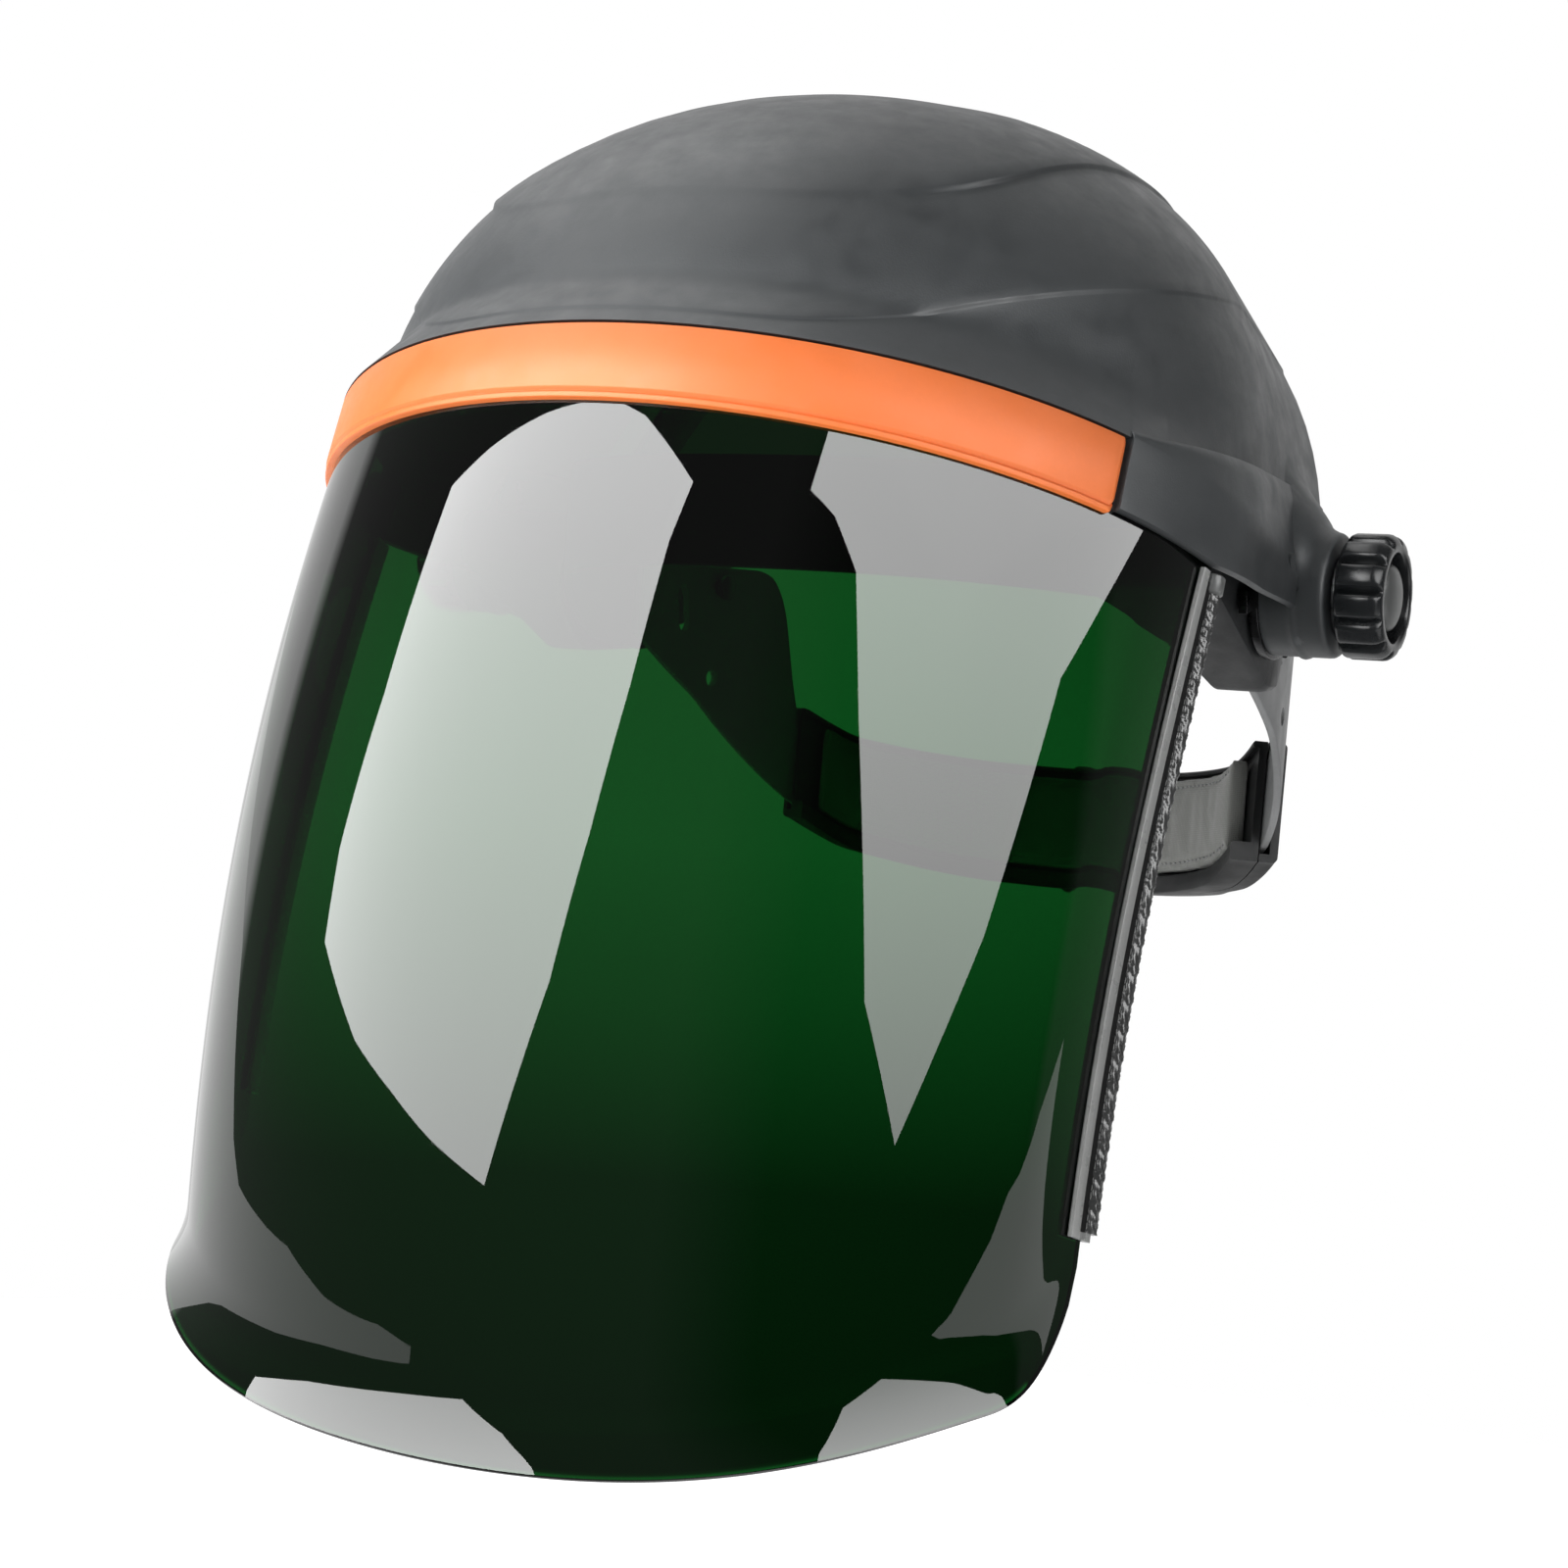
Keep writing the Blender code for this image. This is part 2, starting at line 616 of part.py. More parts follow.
def clamp_knob(name, side):
    """A lobed hand nut with a recessed face, and the domed cap in its middle."""
    turn = empty(f"knob_axis_{name}")
    sections = ((KNOB_INNER_X, 0.90, 0.3), (KNOB_INNER_X + 0.8, 1.0, 1.2),
                (KNOB_OUTER_X - 1.2, 1.0, 1.2), (KNOB_OUTER_X, 0.92, 0.4))
    loops = []
    for x, scale, depth in sections:
        outline = lobed(KNOB_RADIUS * scale, depth, KNOB_LOBES)
        loops.append([(side * x, u, v) for u, v in outline])
    knob = add_object(f"clamp_knob_{name}", swept(bmesh.new(), loops), "knob_black", turn)
    floor_x = KNOB_OUTER_X - KNOB_RECESS_DEPTH
    recess = turned(bmesh.new(), ((KNOB_RECESS_RADIUS, floor_x),
                                  (KNOB_RECESS_RADIUS + 0.6, KNOB_OUTER_X + 1)), side)
    boolean(knob, add_object(f"tool_recess_{name}", recess, "knob_black", turn))
    bore = turned(bmesh.new(), ((BOLT_HOLE_RADIUS, KNOB_INNER_X - 2),
                                (BOLT_HOLE_RADIUS, KNOB_OUTER_X)), side)
    boolean(knob, add_object(f"tool_bore_{name}", bore, "knob_black", turn))
    base = floor_x + GAP
    cap = turned(bmesh.new(), ((KNOB_CAP_RADIUS, base), (KNOB_CAP_RADIUS, base + 1.6), (5.8, base + 2.5),
                               (3.2, base + 3.1), (0.6, base + 3.3)), side, segments=20)
    add_object(f"knob_cap_{name}", cap, "trim_grey", turn, smooth=True)


# ---------------------------------------------------------------- head ring

def ring_point(turn, depth):
    """A point of the head ring in plan. turn is 0 at the front and +-180 at the nape, + on the left."""
    t = radians(turn)
    s, c = sin(t), -cos(t)
    power = 2 / RING_POWER
    x = (RING_HALF_WIDTH - depth) * abs(s) ** power * (1 if s >= 0 else -1)
    y = (RING_HALF_LENGTH - depth) * abs(c) ** power * (1 if c >= 0 else -1)
    return x, RING_CENTRE_Y + y


def ring_turn(y):
    """The turn at which the ring's outer surface reaches this y on the left side."""
    c = (y - RING_CENTRE_Y) / RING_HALF_LENGTH
    s = abs(c) ** (RING_POWER / 2) * (1 if c >= 0 else -1)
    return degrees(acos(-s))


def strip_loops(turns, outer, inner, low, high, side=1):
    """Rectangular sections of a strip that follows the ring between two (y, z) outlines."""
    loops = []
    for turn in turns:
        _, y = ring_point(turn, 0)
        corners = ((outer, high), (outer, low), (inner, low), (inner, high))
        loop = []
        for depth, outline in corners:
            px, py = ring_point(turn, depth)
            loop.append((side * px, py, along(outline, y)))
        loops.append(loop)
    return loops


def slot_tool(name, side):
    """The cutter for the long hole through a side wall of the ring."""
    lean = radians(SLOT_LEAN)
    flat = SLOT_HALF_HEIGHT - SLOT_HALF_WIDTH
    loops = []
    for x in SIDE_BORE_X:
        loop = []
        for end in (1, -1):
            for i in range(7):
                a = pi * i / 6
                u, v = SLOT_HALF_WIDTH * cos(a) * end, (flat + SLOT_HALF_WIDTH * sin(a)) * end
                loop.append((side * x, SLOT_Y + u * cos(lean) - v * sin(lean),
                             SLOT_Z + u * sin(lean) + v * cos(lean)))
        loops.append(loop)
    return add_object(name, swept(bmesh.new(), loops), "gear_black")


def peg_rings(side, y, z, profile, segments=12):
    rings = []
    for radius, x in profile:
        ring = []
        for i in range(segments):
            a = 2 * pi * i / segments
            ring.append((side * x, y + radius * cos(a), z + radius * sin(a)))
        rings.append(ring)
    return rings


def side_hole(name, side, y, z, radius):
    """The cutter for a round hole through a side wall of the ring."""
    profile = [(radius, x) for x in SIDE_BORE_X]
    return add_object(name, swept(bmesh.new(), peg_rings(side, y, z, profile)), "gear_black")


def front_headband():
    end = ring_turn(76)
    turns = spread(-end, end, 45)
    loops = strip_loops(turns, *HEADBAND_DEPTH, WING_LOW, WING_HIGH)
    band = add_object("front_headband", swept(bmesh.new(), loops), "gear_black", smooth=True)
    for name, side in SIDES.items():
        boolean(band, slot_tool(f"tool_wing_slot_{name}", side))
        boolean(band, side_hole(f"tool_wing_hole_{name}", side, ARM_PEG_Y, ARM_PEG_Z, ARM_HOLE_RADIUS))
        for number, y in enumerate(RIVET_HOLES_Y):
            tool = side_hole(f"tool_rivet_hole_{name}_{number}", side, y, RIVET_HOLES_Z, RIVET_HOLE_RADIUS)
            boolean(band, tool)
        tool = side_hole(f"tool_strap_hole_{name}", side, STRAP_Y, STRAP_STUD_Z, RIVET_HOLE_RADIUS)
        boolean(band, tool)


def brow_pad():
    """The foam sweatband inside the front of the ring."""
    end = ring_turn(-22)
    low = ((-60, -3), (-20, -3))
    high = ((-60, 17), (-20, 18))
    loops = strip_loops(spread(-end, end, 21), *BROW_PAD_DEPTH, low, high)
    add_object("brow_pad", swept(bmesh.new(), loops), "pad_grey", smooth=True)


def side_arms():
    """The straps from the temples down to the nape, pegged inside the front headband."""
    for name, side in SIDES.items():
        turns = spread(ring_turn(29), ring_turn(124), 19)
        loops = strip_loops(turns, *ARM_DEPTH, ARM_LOW, ARM_HIGH, side)
        arm = add_object(f"side_arm_{name}", swept(bmesh.new(), loops), "strap_grey", smooth=True)
        for number, z in enumerate((ARM_PEG_Z, ARM_HOLE_Z)):
            boolean(arm, side_hole(f"tool_arm_hole_{name}_{number}", side, ARM_PEG_Y, z, ARM_HOLE_RADIUS))
        boolean(arm, slot_tool(f"tool_arm_slot_{name}", side))
        x_out = ring_point(ring_turn(ARM_PEG_Y), 0)[0]
        profile = ((3.6, x_out - 8.0), (3.6, x_out - 6.2), (2.1, x_out - 6.2), (2.1, x_out + 0.9),
                   (4.0, x_out + 0.9), (4.0, x_out + 2.3))
        peg = swept(bmesh.new(), peg_rings(side, ARM_PEG_Y, ARM_PEG_Z, profile))
        add_object(f"arm_peg_{name}", peg, "knob_black")


def rounded(corners, steps=4, inset=0.0):
    """A closed outline of (y, z, radius) corners, each one turned into an arc, drawn in by inset."""
    count = len(corners)
    points = []
    for i in range(count):
        py, pz, _ = corners[i - 1]
        cy, cz, radius = corners[i]
        ny, nz, _ = corners[(i + 1) % count]
        a = atan2(pz - cz, py - cy)
        b = atan2(nz - cz, ny - cy)
        turn = (b - a + pi) % (2 * pi) - pi
        half = abs(turn) / 2
        middle = a + turn / 2
        reach = radius / sin(half)
        oy, oz = cy + reach * cos(middle), cz + reach * sin(middle)
        shrunk = max(radius - inset, 0.4)
        sweep = pi - 2 * half
        for k in range(steps + 1):
            angle = middle + pi + (k / steps - 0.5) * sweep
            points.append((oy + shrunk * cos(angle), oz + shrunk * sin(angle)))
    return points


def with_midpoints(outline, longest=6.0):
    """The same outline with its long sides split."""
    points = []
    for i, (y, z) in enumerate(outline):
        ny, nz = outline[(i + 1) % len(outline)]
        pieces = max(1, round(hypot(ny - y, nz - z) / longest))
        points += [(y + (ny - y) * k / pieces, z + (nz - z) * k / pieces) for k in range(pieces)]
    return points


def housing_loops(side, inset, face_x):
    """Sections of the housing's skin, from inside the head ring out to its face."""
    outline = with_midpoints(rounded(HOUSING_CORNERS, inset=inset))
    loops = [[(side * 55.0, y, z) for y, z in outline]]
    for share, x in ((1.0, face_x - 3.6), (0.985, face_x - 2.0), (0.94, face_x - 1.0), (0.55, face_x)):
        loop = []
        for y, z in outline:
            fall = HOUSING_FALL * max(y * share - HOUSING_FALL_Y, 0.0)
            loop.append((side * (x - fall), y * share, z * share))
        loops.append(loop)
    return loops


def ring_core():
    """Everything within the head ring's outer face, to be cut out of the housings."""
    loops = []
    for z in (-60, 60):
        points = [ring_point(turn, -HOUSING_STAND_OFF) for turn in range(-180, 180, 4)]
        loops.append([(x, y, z) for x, y in points])
    return add_object("tool_ring_core", swept(bmesh.new(), loops), "gear_black")


def temple_housings():
    """Shells that stand off the ring and carry the pivots."""
    core = ring_core()
    for name, side in SIDES.items():
        bm = swept(bmesh.new(), housing_loops(side, 0.0, HOUSING_FACE_X))
        housing = add_object(f"temple_housing_{name}", bm, "gear_black", smooth=True)
        bm = swept(bmesh.new(), housing_loops(side, HOUSING_WALL, HOUSING_FACE_X - HOUSING_WALL - GAP))
        boolean(housing, add_object(f"tool_housing_hollow_{name}", bm, "gear_black"))
        boolean(housing, core)
        hole = turned(bmesh.new(), ((BOLT_HOLE_RADIUS, 80), (BOLT_HOLE_RADIUS, 110)), side)
        boolean(housing, add_object(f"tool_housing_hole_{name}", hole, "gear_black"))


# ---------------------------------------------------------------- nape and ratchet

def bulge(x):
    """How far the nape cover stands out behind the ring, to house the racks."""
    return HOUSING_BULGE * ease((HOUSING_HALF_WIDTH + 8 - abs(x)) / 10)


def nape_turns(count, start_y=NAPE_START_Y):
    start = ring_turn(start_y)
    return spread(start, 360 - start, count)


def nape_loop(turn, profile):
    """profile is (depth, height share, z shift, bulges) for each corner of the section."""
    x0, y0 = ring_point(turn, 0)
    low, high = along(NAPE_LOW, y0), along(NAPE_HIGH, y0)
    loop = []
    for depth, share, shift, bulges in profile:
        swell = bulge(x0) if bulges else 0.0
        x, y = ring_point(turn, depth)
        loop.append((x, y + swell, low + (high - low) * share + shift))
    return loop


def nape_parts():
    wall, flange = NAPE_WALL, NAPE_FLANGE_DEPTH
    cover_profile = ((0, 1, 0, 1), (0, 0, 0, 1), (flange, 0, 0, 0), (flange, 0, wall, 0),
                     (wall, 0, wall, 1), (wall, 1, -wall, 1), (flange, 1, -wall, 0), (flange, 1, 0, 0))
    loops = [nape_loop(turn, cover_profile) for turn in nape_turns(41)]
    cover = add_object("nape_cover", swept(bmesh.new(), loops), "gear_black", smooth=True)
    profile = ((RATCHET_HOLE_RADIUS, 120), (RATCHET_HOLE_RADIUS, 160))
    hole = turned(bmesh.new(), profile, 1, (0, RATCHET_Z), axis="Y")
    boolean(cover, add_object("tool_ratchet_hole", hole, "gear_black"))

    back, tray, lip = TRAY_DEPTH
    rim = TRAY_RIM
    tray_profile = ((back, 1, 0, 0), (back, 0, 0, 0), (lip, 0, 0, 0), (lip, 0, rim, 0),
                    (tray, 0, rim, 0), (tray, 1, -1.6, 0), (9.0, 1, -1.6, 0), (9.0, 1, 0, 0))
    loops = [nape_loop(turn, tray_profile) for turn in nape_turns(31)]
    add_object("nape_tray", swept(bmesh.new(), loops), "gear_black", smooth=True)

    pad_profile = ((tray + GAP, 1, -2.0, 0), (tray + GAP, 0, rim + GAP, 0),
                   (lip + 0.6, 0, rim + GAP, 0), (lip + 0.6, 1, -2.0, 0))
    loops = [nape_loop(turn, pad_profile) for turn in nape_turns(31, NAPE_START_Y + 6)]
    add_object("nape_pad", swept(bmesh.new(), loops), "pad_grey", smooth=True)


def back_y():
    return RING_CENTRE_Y + RING_HALF_LENGTH


def racks():
    """Two toothed straps, one above and one below the pinion."""
    y0 = back_y() - 3.8
    pitch = 2 * pi * PINION_PITCH / PINION_TEETH
    depth = 0.30 * pitch
    inner_end, outer_end = RACK_REACH
    first_tooth = int(inner_end / pitch)
    last_tooth = int(outer_end / pitch) - 2
    for name, side in SIDES.items():
        edge = RATCHET_Z + side * PINION_PITCH
        outer_edge = RATCHET_Z + side * RACK_HALF_HEIGHT
        teeth = []
        for i in range(first_tooth, last_tooth):
            for share, height in ((-0.32, 1), (-0.10, -1), (0.10, -1), (0.32, 1)):
                teeth.append(((i + share) * pitch, edge + side * depth * height))
        outline = teeth + [(outer_end, edge + side * depth), (outer_end, outer_edge),
                           (inner_end, outer_edge), (inner_end, edge + side * depth)]
        loops = [[(side * x, y, z) for x, z in outline] for y in (y0, y0 + RACK_THICKNESS)]
        add_object(f"size_rack_{name}", swept(bmesh.new(), loops), "rack_white")


def ratchet():
    """The rear knob, its pinion and its click disc, all turning about Y."""
    turn = empty("ratchet_axis")
    y0 = back_y() - 4.2
    pitch = 2 * pi / PINION_TEETH
    outline = []
    for i in range(PINION_TEETH):
        middle = (i + 0.5) * pitch
        for radius, share in ((4.5, -0.36), (6.6, -0.15), (6.6, 0.15), (4.5, 0.36)):
            angle = middle + share * pitch
            outline.append((radius * cos(angle), radius * sin(angle)))
    loops = [[(u, y, RATCHET_Z + v) for u, v in outline] for y in (y0, y0 + 3.4)]
    add_object("ratchet_pinion", swept(bmesh.new(), loops), "rack_white", turn)

    cover_y = back_y() + HOUSING_BULGE
    profile = ((CLICK_DISC_RADIUS, y0 + 3.8), (CLICK_DISC_RADIUS, y0 + 5.6))
    disc = turned(bmesh.new(), profile, 1, (0, RATCHET_Z), 24, "Y")
    add_object("click_disc", disc, "gear_black", turn)
    base = cover_y + GAP
    loops = []
    for y, scale, depth in ((base, 0.93, 0.5), (base + 1.5, 1.0, 1.8), (base + 11, 0.97, 1.8),
                            (base + 13, 0.86, 0.6)):
        outline = lobed(RATCHET_KNOB_RADIUS * scale, depth, RATCHET_KNOB_LOBES)
        loops.append([(u, y, RATCHET_Z + v) for u, v in outline])
    knob = add_object("ratchet_knob", swept(bmesh.new(), loops), "knob_black", turn)
    profile = ((RATCHET_STEM_RADIUS, y0 + 5.9), (RATCHET_STEM_RADIUS, base + 2))
    stem = turned(bmesh.new(), profile, 1, (0, RATCHET_Z), 20, "Y")
    boolean(knob, add_object("tool_knob_stem", stem, "knob_black", turn), "UNION")
    dish = turned(bmesh.new(), ((11.0, base + 10.5), (13.0, base + 14)), 1, (0, RATCHET_Z), 28, "Y")
    boolean(knob, add_object("tool_knob_dish", dish, "knob_black", turn))


# ---------------------------------------------------------------- top strap

def strap_loops(first, last, overlap_from, lift, count=19):
    """Sections of a strap over the head, between two angles up from the left side.

    It rises by lift where it lies over the other strap, beyond overlap_from.
    """
    loops = []
    for angle in spread(first, last, count):
        a = radians(angle)
        nx, nz = cos(a) / STRAP_HALF_SPAN, sin(a) / STRAP_TOP_Z
        size = hypot(nx, nz)
        nx, nz = nx / size, nz / size
        raised = lift * ease((overlap_from - angle) / 12)
        loop = []
        for out, across in ((0, -1), (0, 1), (STRAP_WALL, 1), (STRAP_WALL, -1)):
            reach = out + raised
            y = STRAP_Y + STRAP_SWEEP * ease(sin(a)) + across * STRAP_WIDTH / 2
            loop.append((STRAP_HALF_SPAN * cos(a) + nx * reach, y, STRAP_TOP_Z * sin(a) + nz * reach))
        loops.append(loop)
    return loops


def round_peg(profile, x, y, segments=12):
    """A solid turned about an upright axis; profile is (radius, z) pairs."""
    rings = []
    for radius, z in profile:
        angles = [2 * pi * i / segments for i in range(segments)]
        rings.append([(x + radius * cos(a), y + radius * sin(a), z) for a in angles])
    return rings


def top_straps():
    crest_y = STRAP_Y + STRAP_SWEEP
    left = add_object("top_strap_left", swept(bmesh.new(), strap_loops(9, 112, 180, 0.0)),
                      "gear_black", smooth=True)
    right = add_object("top_strap_right", swept(bmesh.new(), strap_loops(68, 171, 128, STRAP_LIFT)),
                       "gear_black", smooth=True)
    bm = bmesh.new()
    for x in spread(-20, 20, 5):
        swept(bm, round_peg(((STRAP_HOLE_RADIUS, 60), (STRAP_HOLE_RADIUS, 100)), x, crest_y))
    tool = add_object("tool_strap_holes", bm, "gear_black")
    boolean(left, tool)
    boolean(right, tool)
    for name, side, strap in (("left", 1, left), ("right", -1, right)):
        profile = ((STRAP_STUD_RADIUS, 82.0), (STRAP_STUD_RADIUS, 90.2))
        stud = swept(bmesh.new(), peg_rings(side, STRAP_Y, STRAP_STUD_Z, profile))
        boolean(strap, add_object(f"tool_strap_stud_{name}", stud, "gear_black"), "UNION")
    top = STRAP_TOP_Z
    profile = ((3.6, top - 2.0), (3.6, top - 0.6), (1.9, top - 0.6), (1.9, top + 4.6),
               (2.9, top + 4.6), (2.2, top + 6))
    add_object("strap_peg", swept(bmesh.new(), round_peg(profile, 0, crest_y)), "knob_black")


def main():
    clear_scene()
    bpy.context.scene.unit_settings.system = "METRIC"
    pivot = empty("shield_pivot", SHIELD_LEAN)
    crown_shell(pivot)
    visor_studs(pivot)
    brow_band(pivot)
    visor(pivot)
    edge_trims(pivot)
    pivot_hardware()
    front_headband()
    brow_pad()
    side_arms()
    temple_housings()
    nape_parts()
    racks()
    ratchet()
    top_straps()


main()
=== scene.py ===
"""The looks of the tilting face shield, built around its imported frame.

Shapes are drawn in millimetres in the frame's axes and written out in metres. Pieces of the shield are
drawn upright and then leaned forward about the pivots, as the frame holds them at rest.
"""

from math import acos, asin, cos, degrees, exp, hypot, pi, radians, sin, sqrt

import bmesh
import bpy
import numpy as np
from mathutils import Matrix, Vector
from mathutils.bvhtree import BVHTree
from mathutils.kdtree import KDTree


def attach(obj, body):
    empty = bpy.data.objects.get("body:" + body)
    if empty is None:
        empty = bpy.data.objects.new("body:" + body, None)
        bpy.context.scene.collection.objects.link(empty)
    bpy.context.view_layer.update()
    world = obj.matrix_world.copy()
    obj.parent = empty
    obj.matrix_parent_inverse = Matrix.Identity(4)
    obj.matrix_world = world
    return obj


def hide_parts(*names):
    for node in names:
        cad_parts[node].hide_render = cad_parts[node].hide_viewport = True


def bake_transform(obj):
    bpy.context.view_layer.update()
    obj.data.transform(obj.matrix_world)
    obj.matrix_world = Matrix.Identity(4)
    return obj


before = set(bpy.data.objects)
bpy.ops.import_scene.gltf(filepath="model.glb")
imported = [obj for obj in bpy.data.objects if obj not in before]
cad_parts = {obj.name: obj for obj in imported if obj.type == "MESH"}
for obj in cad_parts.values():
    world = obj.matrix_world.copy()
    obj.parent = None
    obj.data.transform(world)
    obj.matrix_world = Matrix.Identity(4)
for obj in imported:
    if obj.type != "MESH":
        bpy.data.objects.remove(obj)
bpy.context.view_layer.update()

MM = 0.001
SIDES = {"left": 1, "right": -1}
GAP = 0.3

# The shield's driving dimensions
SHIELD_LEAN = 16.6
HALF_WIDTH = 112.0
PLAN_CENTRE_Y = -38.7
PLAN_DEPTH = 100.0
FRONT_Y = PLAN_CENTRE_Y - PLAN_DEPTH
BELLY = 0.00067
CROWN_TOP_Z = 108.0
CROWN_REAR_Y = 17.0
CROWN_WALL = 2.2
CROWN_TUCK = 0.055
BROW_FRONT_Z = -5.4
BROW_RISE = 0.0265
EAR_RADIUS = 14.0
EDGE_LINE = ((-86, -19), (-58, -18.2), (-33, -13), (-6, -6), (17, -6))
SHOULDER_LINE = ((-86, -3), (-68, 3), (-25, 17), (10, 28), (17, 29))
SHOULDER_TAPER = 0.0021
SHOULDER_ROUND = 1.2
BAND_HEIGHT = 16.1
BAND_END = 62.0
BAND_WALL = 2.2
VISOR_DEPTH = 2.6
VISOR_WALL = 2.0
RIM_DEPTH = 5.1
RIM_HEIGHT = 14.5
VISOR_BOTTOM_Z = -223.5
VISOR_BOTTOM_RISE = (23.0, 22.0)
VISOR_EDGE_ANGLE = 81.5
VISOR_EDGE_NARROWING = 6.5
NARROWING_END_Z = -120.0
VISOR_CORNER = 22.0
VISOR_LIP = 3.6
VISOR_LIP_HEIGHT = 16.0
VISOR_SWELL = 3.0  # how far the visor's middle stands out, between its top and its foot
STUD_ANGLES = (-54, -28, 0, 28, 54)
STUD_HOLE_RADIUS = 2.6
TRIM_TOP_Z = -19.6
TRIM_GRIP = 4.6
TRIM_WALL = 1.2

# The pivot stack along X
BOLT_HOLE_RADIUS = 4.3
BOSS_OUTER_X = 118.0
KNOB_INNER_X = 119.8
KNOB_OUTER_X = 130.6
KNOB_RADIUS = 14.0
KNOB_LOBES = 12
STOP_FACE_X = 101.6
STOP_PIN_RADIUS = 1.8
STOP_PIN_ORBIT = 18.5

# The crown's raised panels: creases as (plan angle, height) outlines, the same on both sides
LOW_CREASE = ((0, -2.0), (20, -1.8), (26, 0.8), (32, 5.0), (41, 13.8), (55, 27.0), (67, 37.5), (88, 54.0),
              (120, 64.0))
HIGH_CREASE = ((0, 29.5), (16, 29.5), (27, 33.0), (37, 42.0), (43, 51.0), (50, 62.0), (57, 70.0),
               (70, 78.5), (90, 84.0), (120, 87.0))
LOW_STEP = 0.5
HIGH_STEP = (0.3, 1.35)  # in front, and at the corners of the forehead
STEP_WIDTH = (3.2, 1.3)

# The head ring
RING_HALF_WIDTH = 89.6
RING_HALF_LENGTH = 100.0
RING_CENTRE_Y = 41.0
RING_POWER = 2.39
WING_LOW = ((-60, -5.5), (-25, -5.5), (10, -19), (38, -19), (64, -6), (76, -1))
WING_HIGH = ((-60, 20), (0, 24), (30, 22), (54, 9), (76, 9))
ARM_LOW = ((29, -15), (63, -30), (106, -58.5), (124, -66))
ARM_HIGH = ((29, 5), (88, 9), (94, 6), (99, -8), (102.5, -33), (124, -41))
NAPE_LOW = ((104, -61), (119, -69), (141, -75))
NAPE_HIGH = ((104, -29), (119, -36), (141, -40))
NAPE_START_Y = 104.0
BROW_PAD_LOW = ((-60, -3), (-20, -3))
BROW_PAD_HIGH = ((-60, 17), (-20, 18))
SEAM_DEPTH = 0.45
SLOT_Y = 52.0
SLOT_Z = -6.0
ARM_PEG_Y = 68.0
ARM_PEG_Z = 2.0
ARM_HOLE_Z = -24.0
STRAP_Y = 16.0
STRAP_STUD_Z = 17.0
STRAP_SWEEP = 12.0
STRAP_HALF_SPAN = 83.4
STRAP_TOP_Z = 84.0
STRAP_WIDTH = 18.0
STRAP_WALL = 1.8
STRAP_CORNER = 6.0
STRAP_HOLE_RADIUS = 2.3
ARM_HOLE_RADIUS = 2.4
STUD_SEAT_RADIUS = 1.9
SLOT_SIZE = (2.6, 6.5, radians(14))  # half its width, half its height, and its lean
RATCHET_Z = -57.5
RATCHET_KNOB_RADIUS = 19.0
RATCHET_KNOB_LOBES = 10
HOUSING_HALF_WIDTH = 50.0
HOUSING_BULGE = 9.5

# The view
VIEW_AZIMUTH = 29.011
VIEW_ELEVATION = -0.356
VIEW_ROLL = 5.309
VIEW_DISTANCE = 0.62045
VIEW_TARGET = (-0.018585, 0.0, -0.05263)
VIEW_LENS = 57.308
FLOOR_Z = -0.75
LAMP_DISTANCE = 1.5  # from the shield to every lamp and lit panel


# ---------------------------------------------------------------- small helpers

def ease(share):
    share = min(max(share, 0.0), 1.0)
    return share * share * (3 - 2 * share)


def along(pairs, at):
    """Straight-line reading of an outline of (place, value) pairs, held at its ends."""
    if at <= pairs[0][0]:
        return pairs[0][1]
    for (p0, v0), (p1, v1) in zip(pairs, pairs[1:]):
        if at <= p1:
            return v0 + (v1 - v0) * (at - p0) / (p1 - p0)
    return pairs[-1][1]


def smoothly(pairs, at, reach):
    """The same outline with its corners rounded over a stretch of twice the reach."""
    return sum(along(pairs, at + reach * k / 3) for k in (-3, -2, -1, 0, 1, 2, 3)) / 7


def spread(first, last, count):
    return [first + (last - first) * i / (count - 1) for i in range(count)]


def round_angles(count):
    return [2 * pi * i / count for i in range(count)]


# ---------------------------------------------------------------- materials

def nodes_of(name):
    made = bpy.data.materials.new(name)
    made.use_nodes = True
    tree = made.node_tree
    return made, tree, tree.nodes["Principled BSDF"]


def node(tree, kind, **settings):
    made = tree.nodes.new(kind)
    for key, value in settings.items():
        if key.startswith("in_"):
            made.inputs[key[3:].replace("_", " ")].default_value = value
        else:
            setattr(made, key, value)
    return made


def noise(tree, scale, detail=3.0, roughness=0.5, stretch=(1, 1, 1)):
    """A noise in the piece's own coordinates; scale is in features per metre."""
    place = node(tree, "ShaderNodeTexCoord")
    mapping = node(tree, "ShaderNodeMapping")
    mapping.inputs["Scale"].default_value = stretch
    texture = node(tree, "ShaderNodeTexNoise", in_Scale=scale, in_Detail=detail, in_Roughness=roughness)
    tree.links.new(place.outputs["Object"], mapping.inputs["Vector"])
    tree.links.new(mapping.outputs["Vector"], texture.inputs["Vector"])
    return texture.outputs["Fac"]


def remap(tree, value, low, high, from_low=0.3, from_high=0.7):
    made = node(tree, "ShaderNodeMapRange")
    made.inputs["From Min"].default_value = from_low
    made.inputs["From Max"].default_value = from_high
    made.inputs["To Min"].default_value = low
    made.inputs["To Max"].default_value = high
    tree.links.new(value, made.inputs["Value"])
    return made.outputs["Result"]


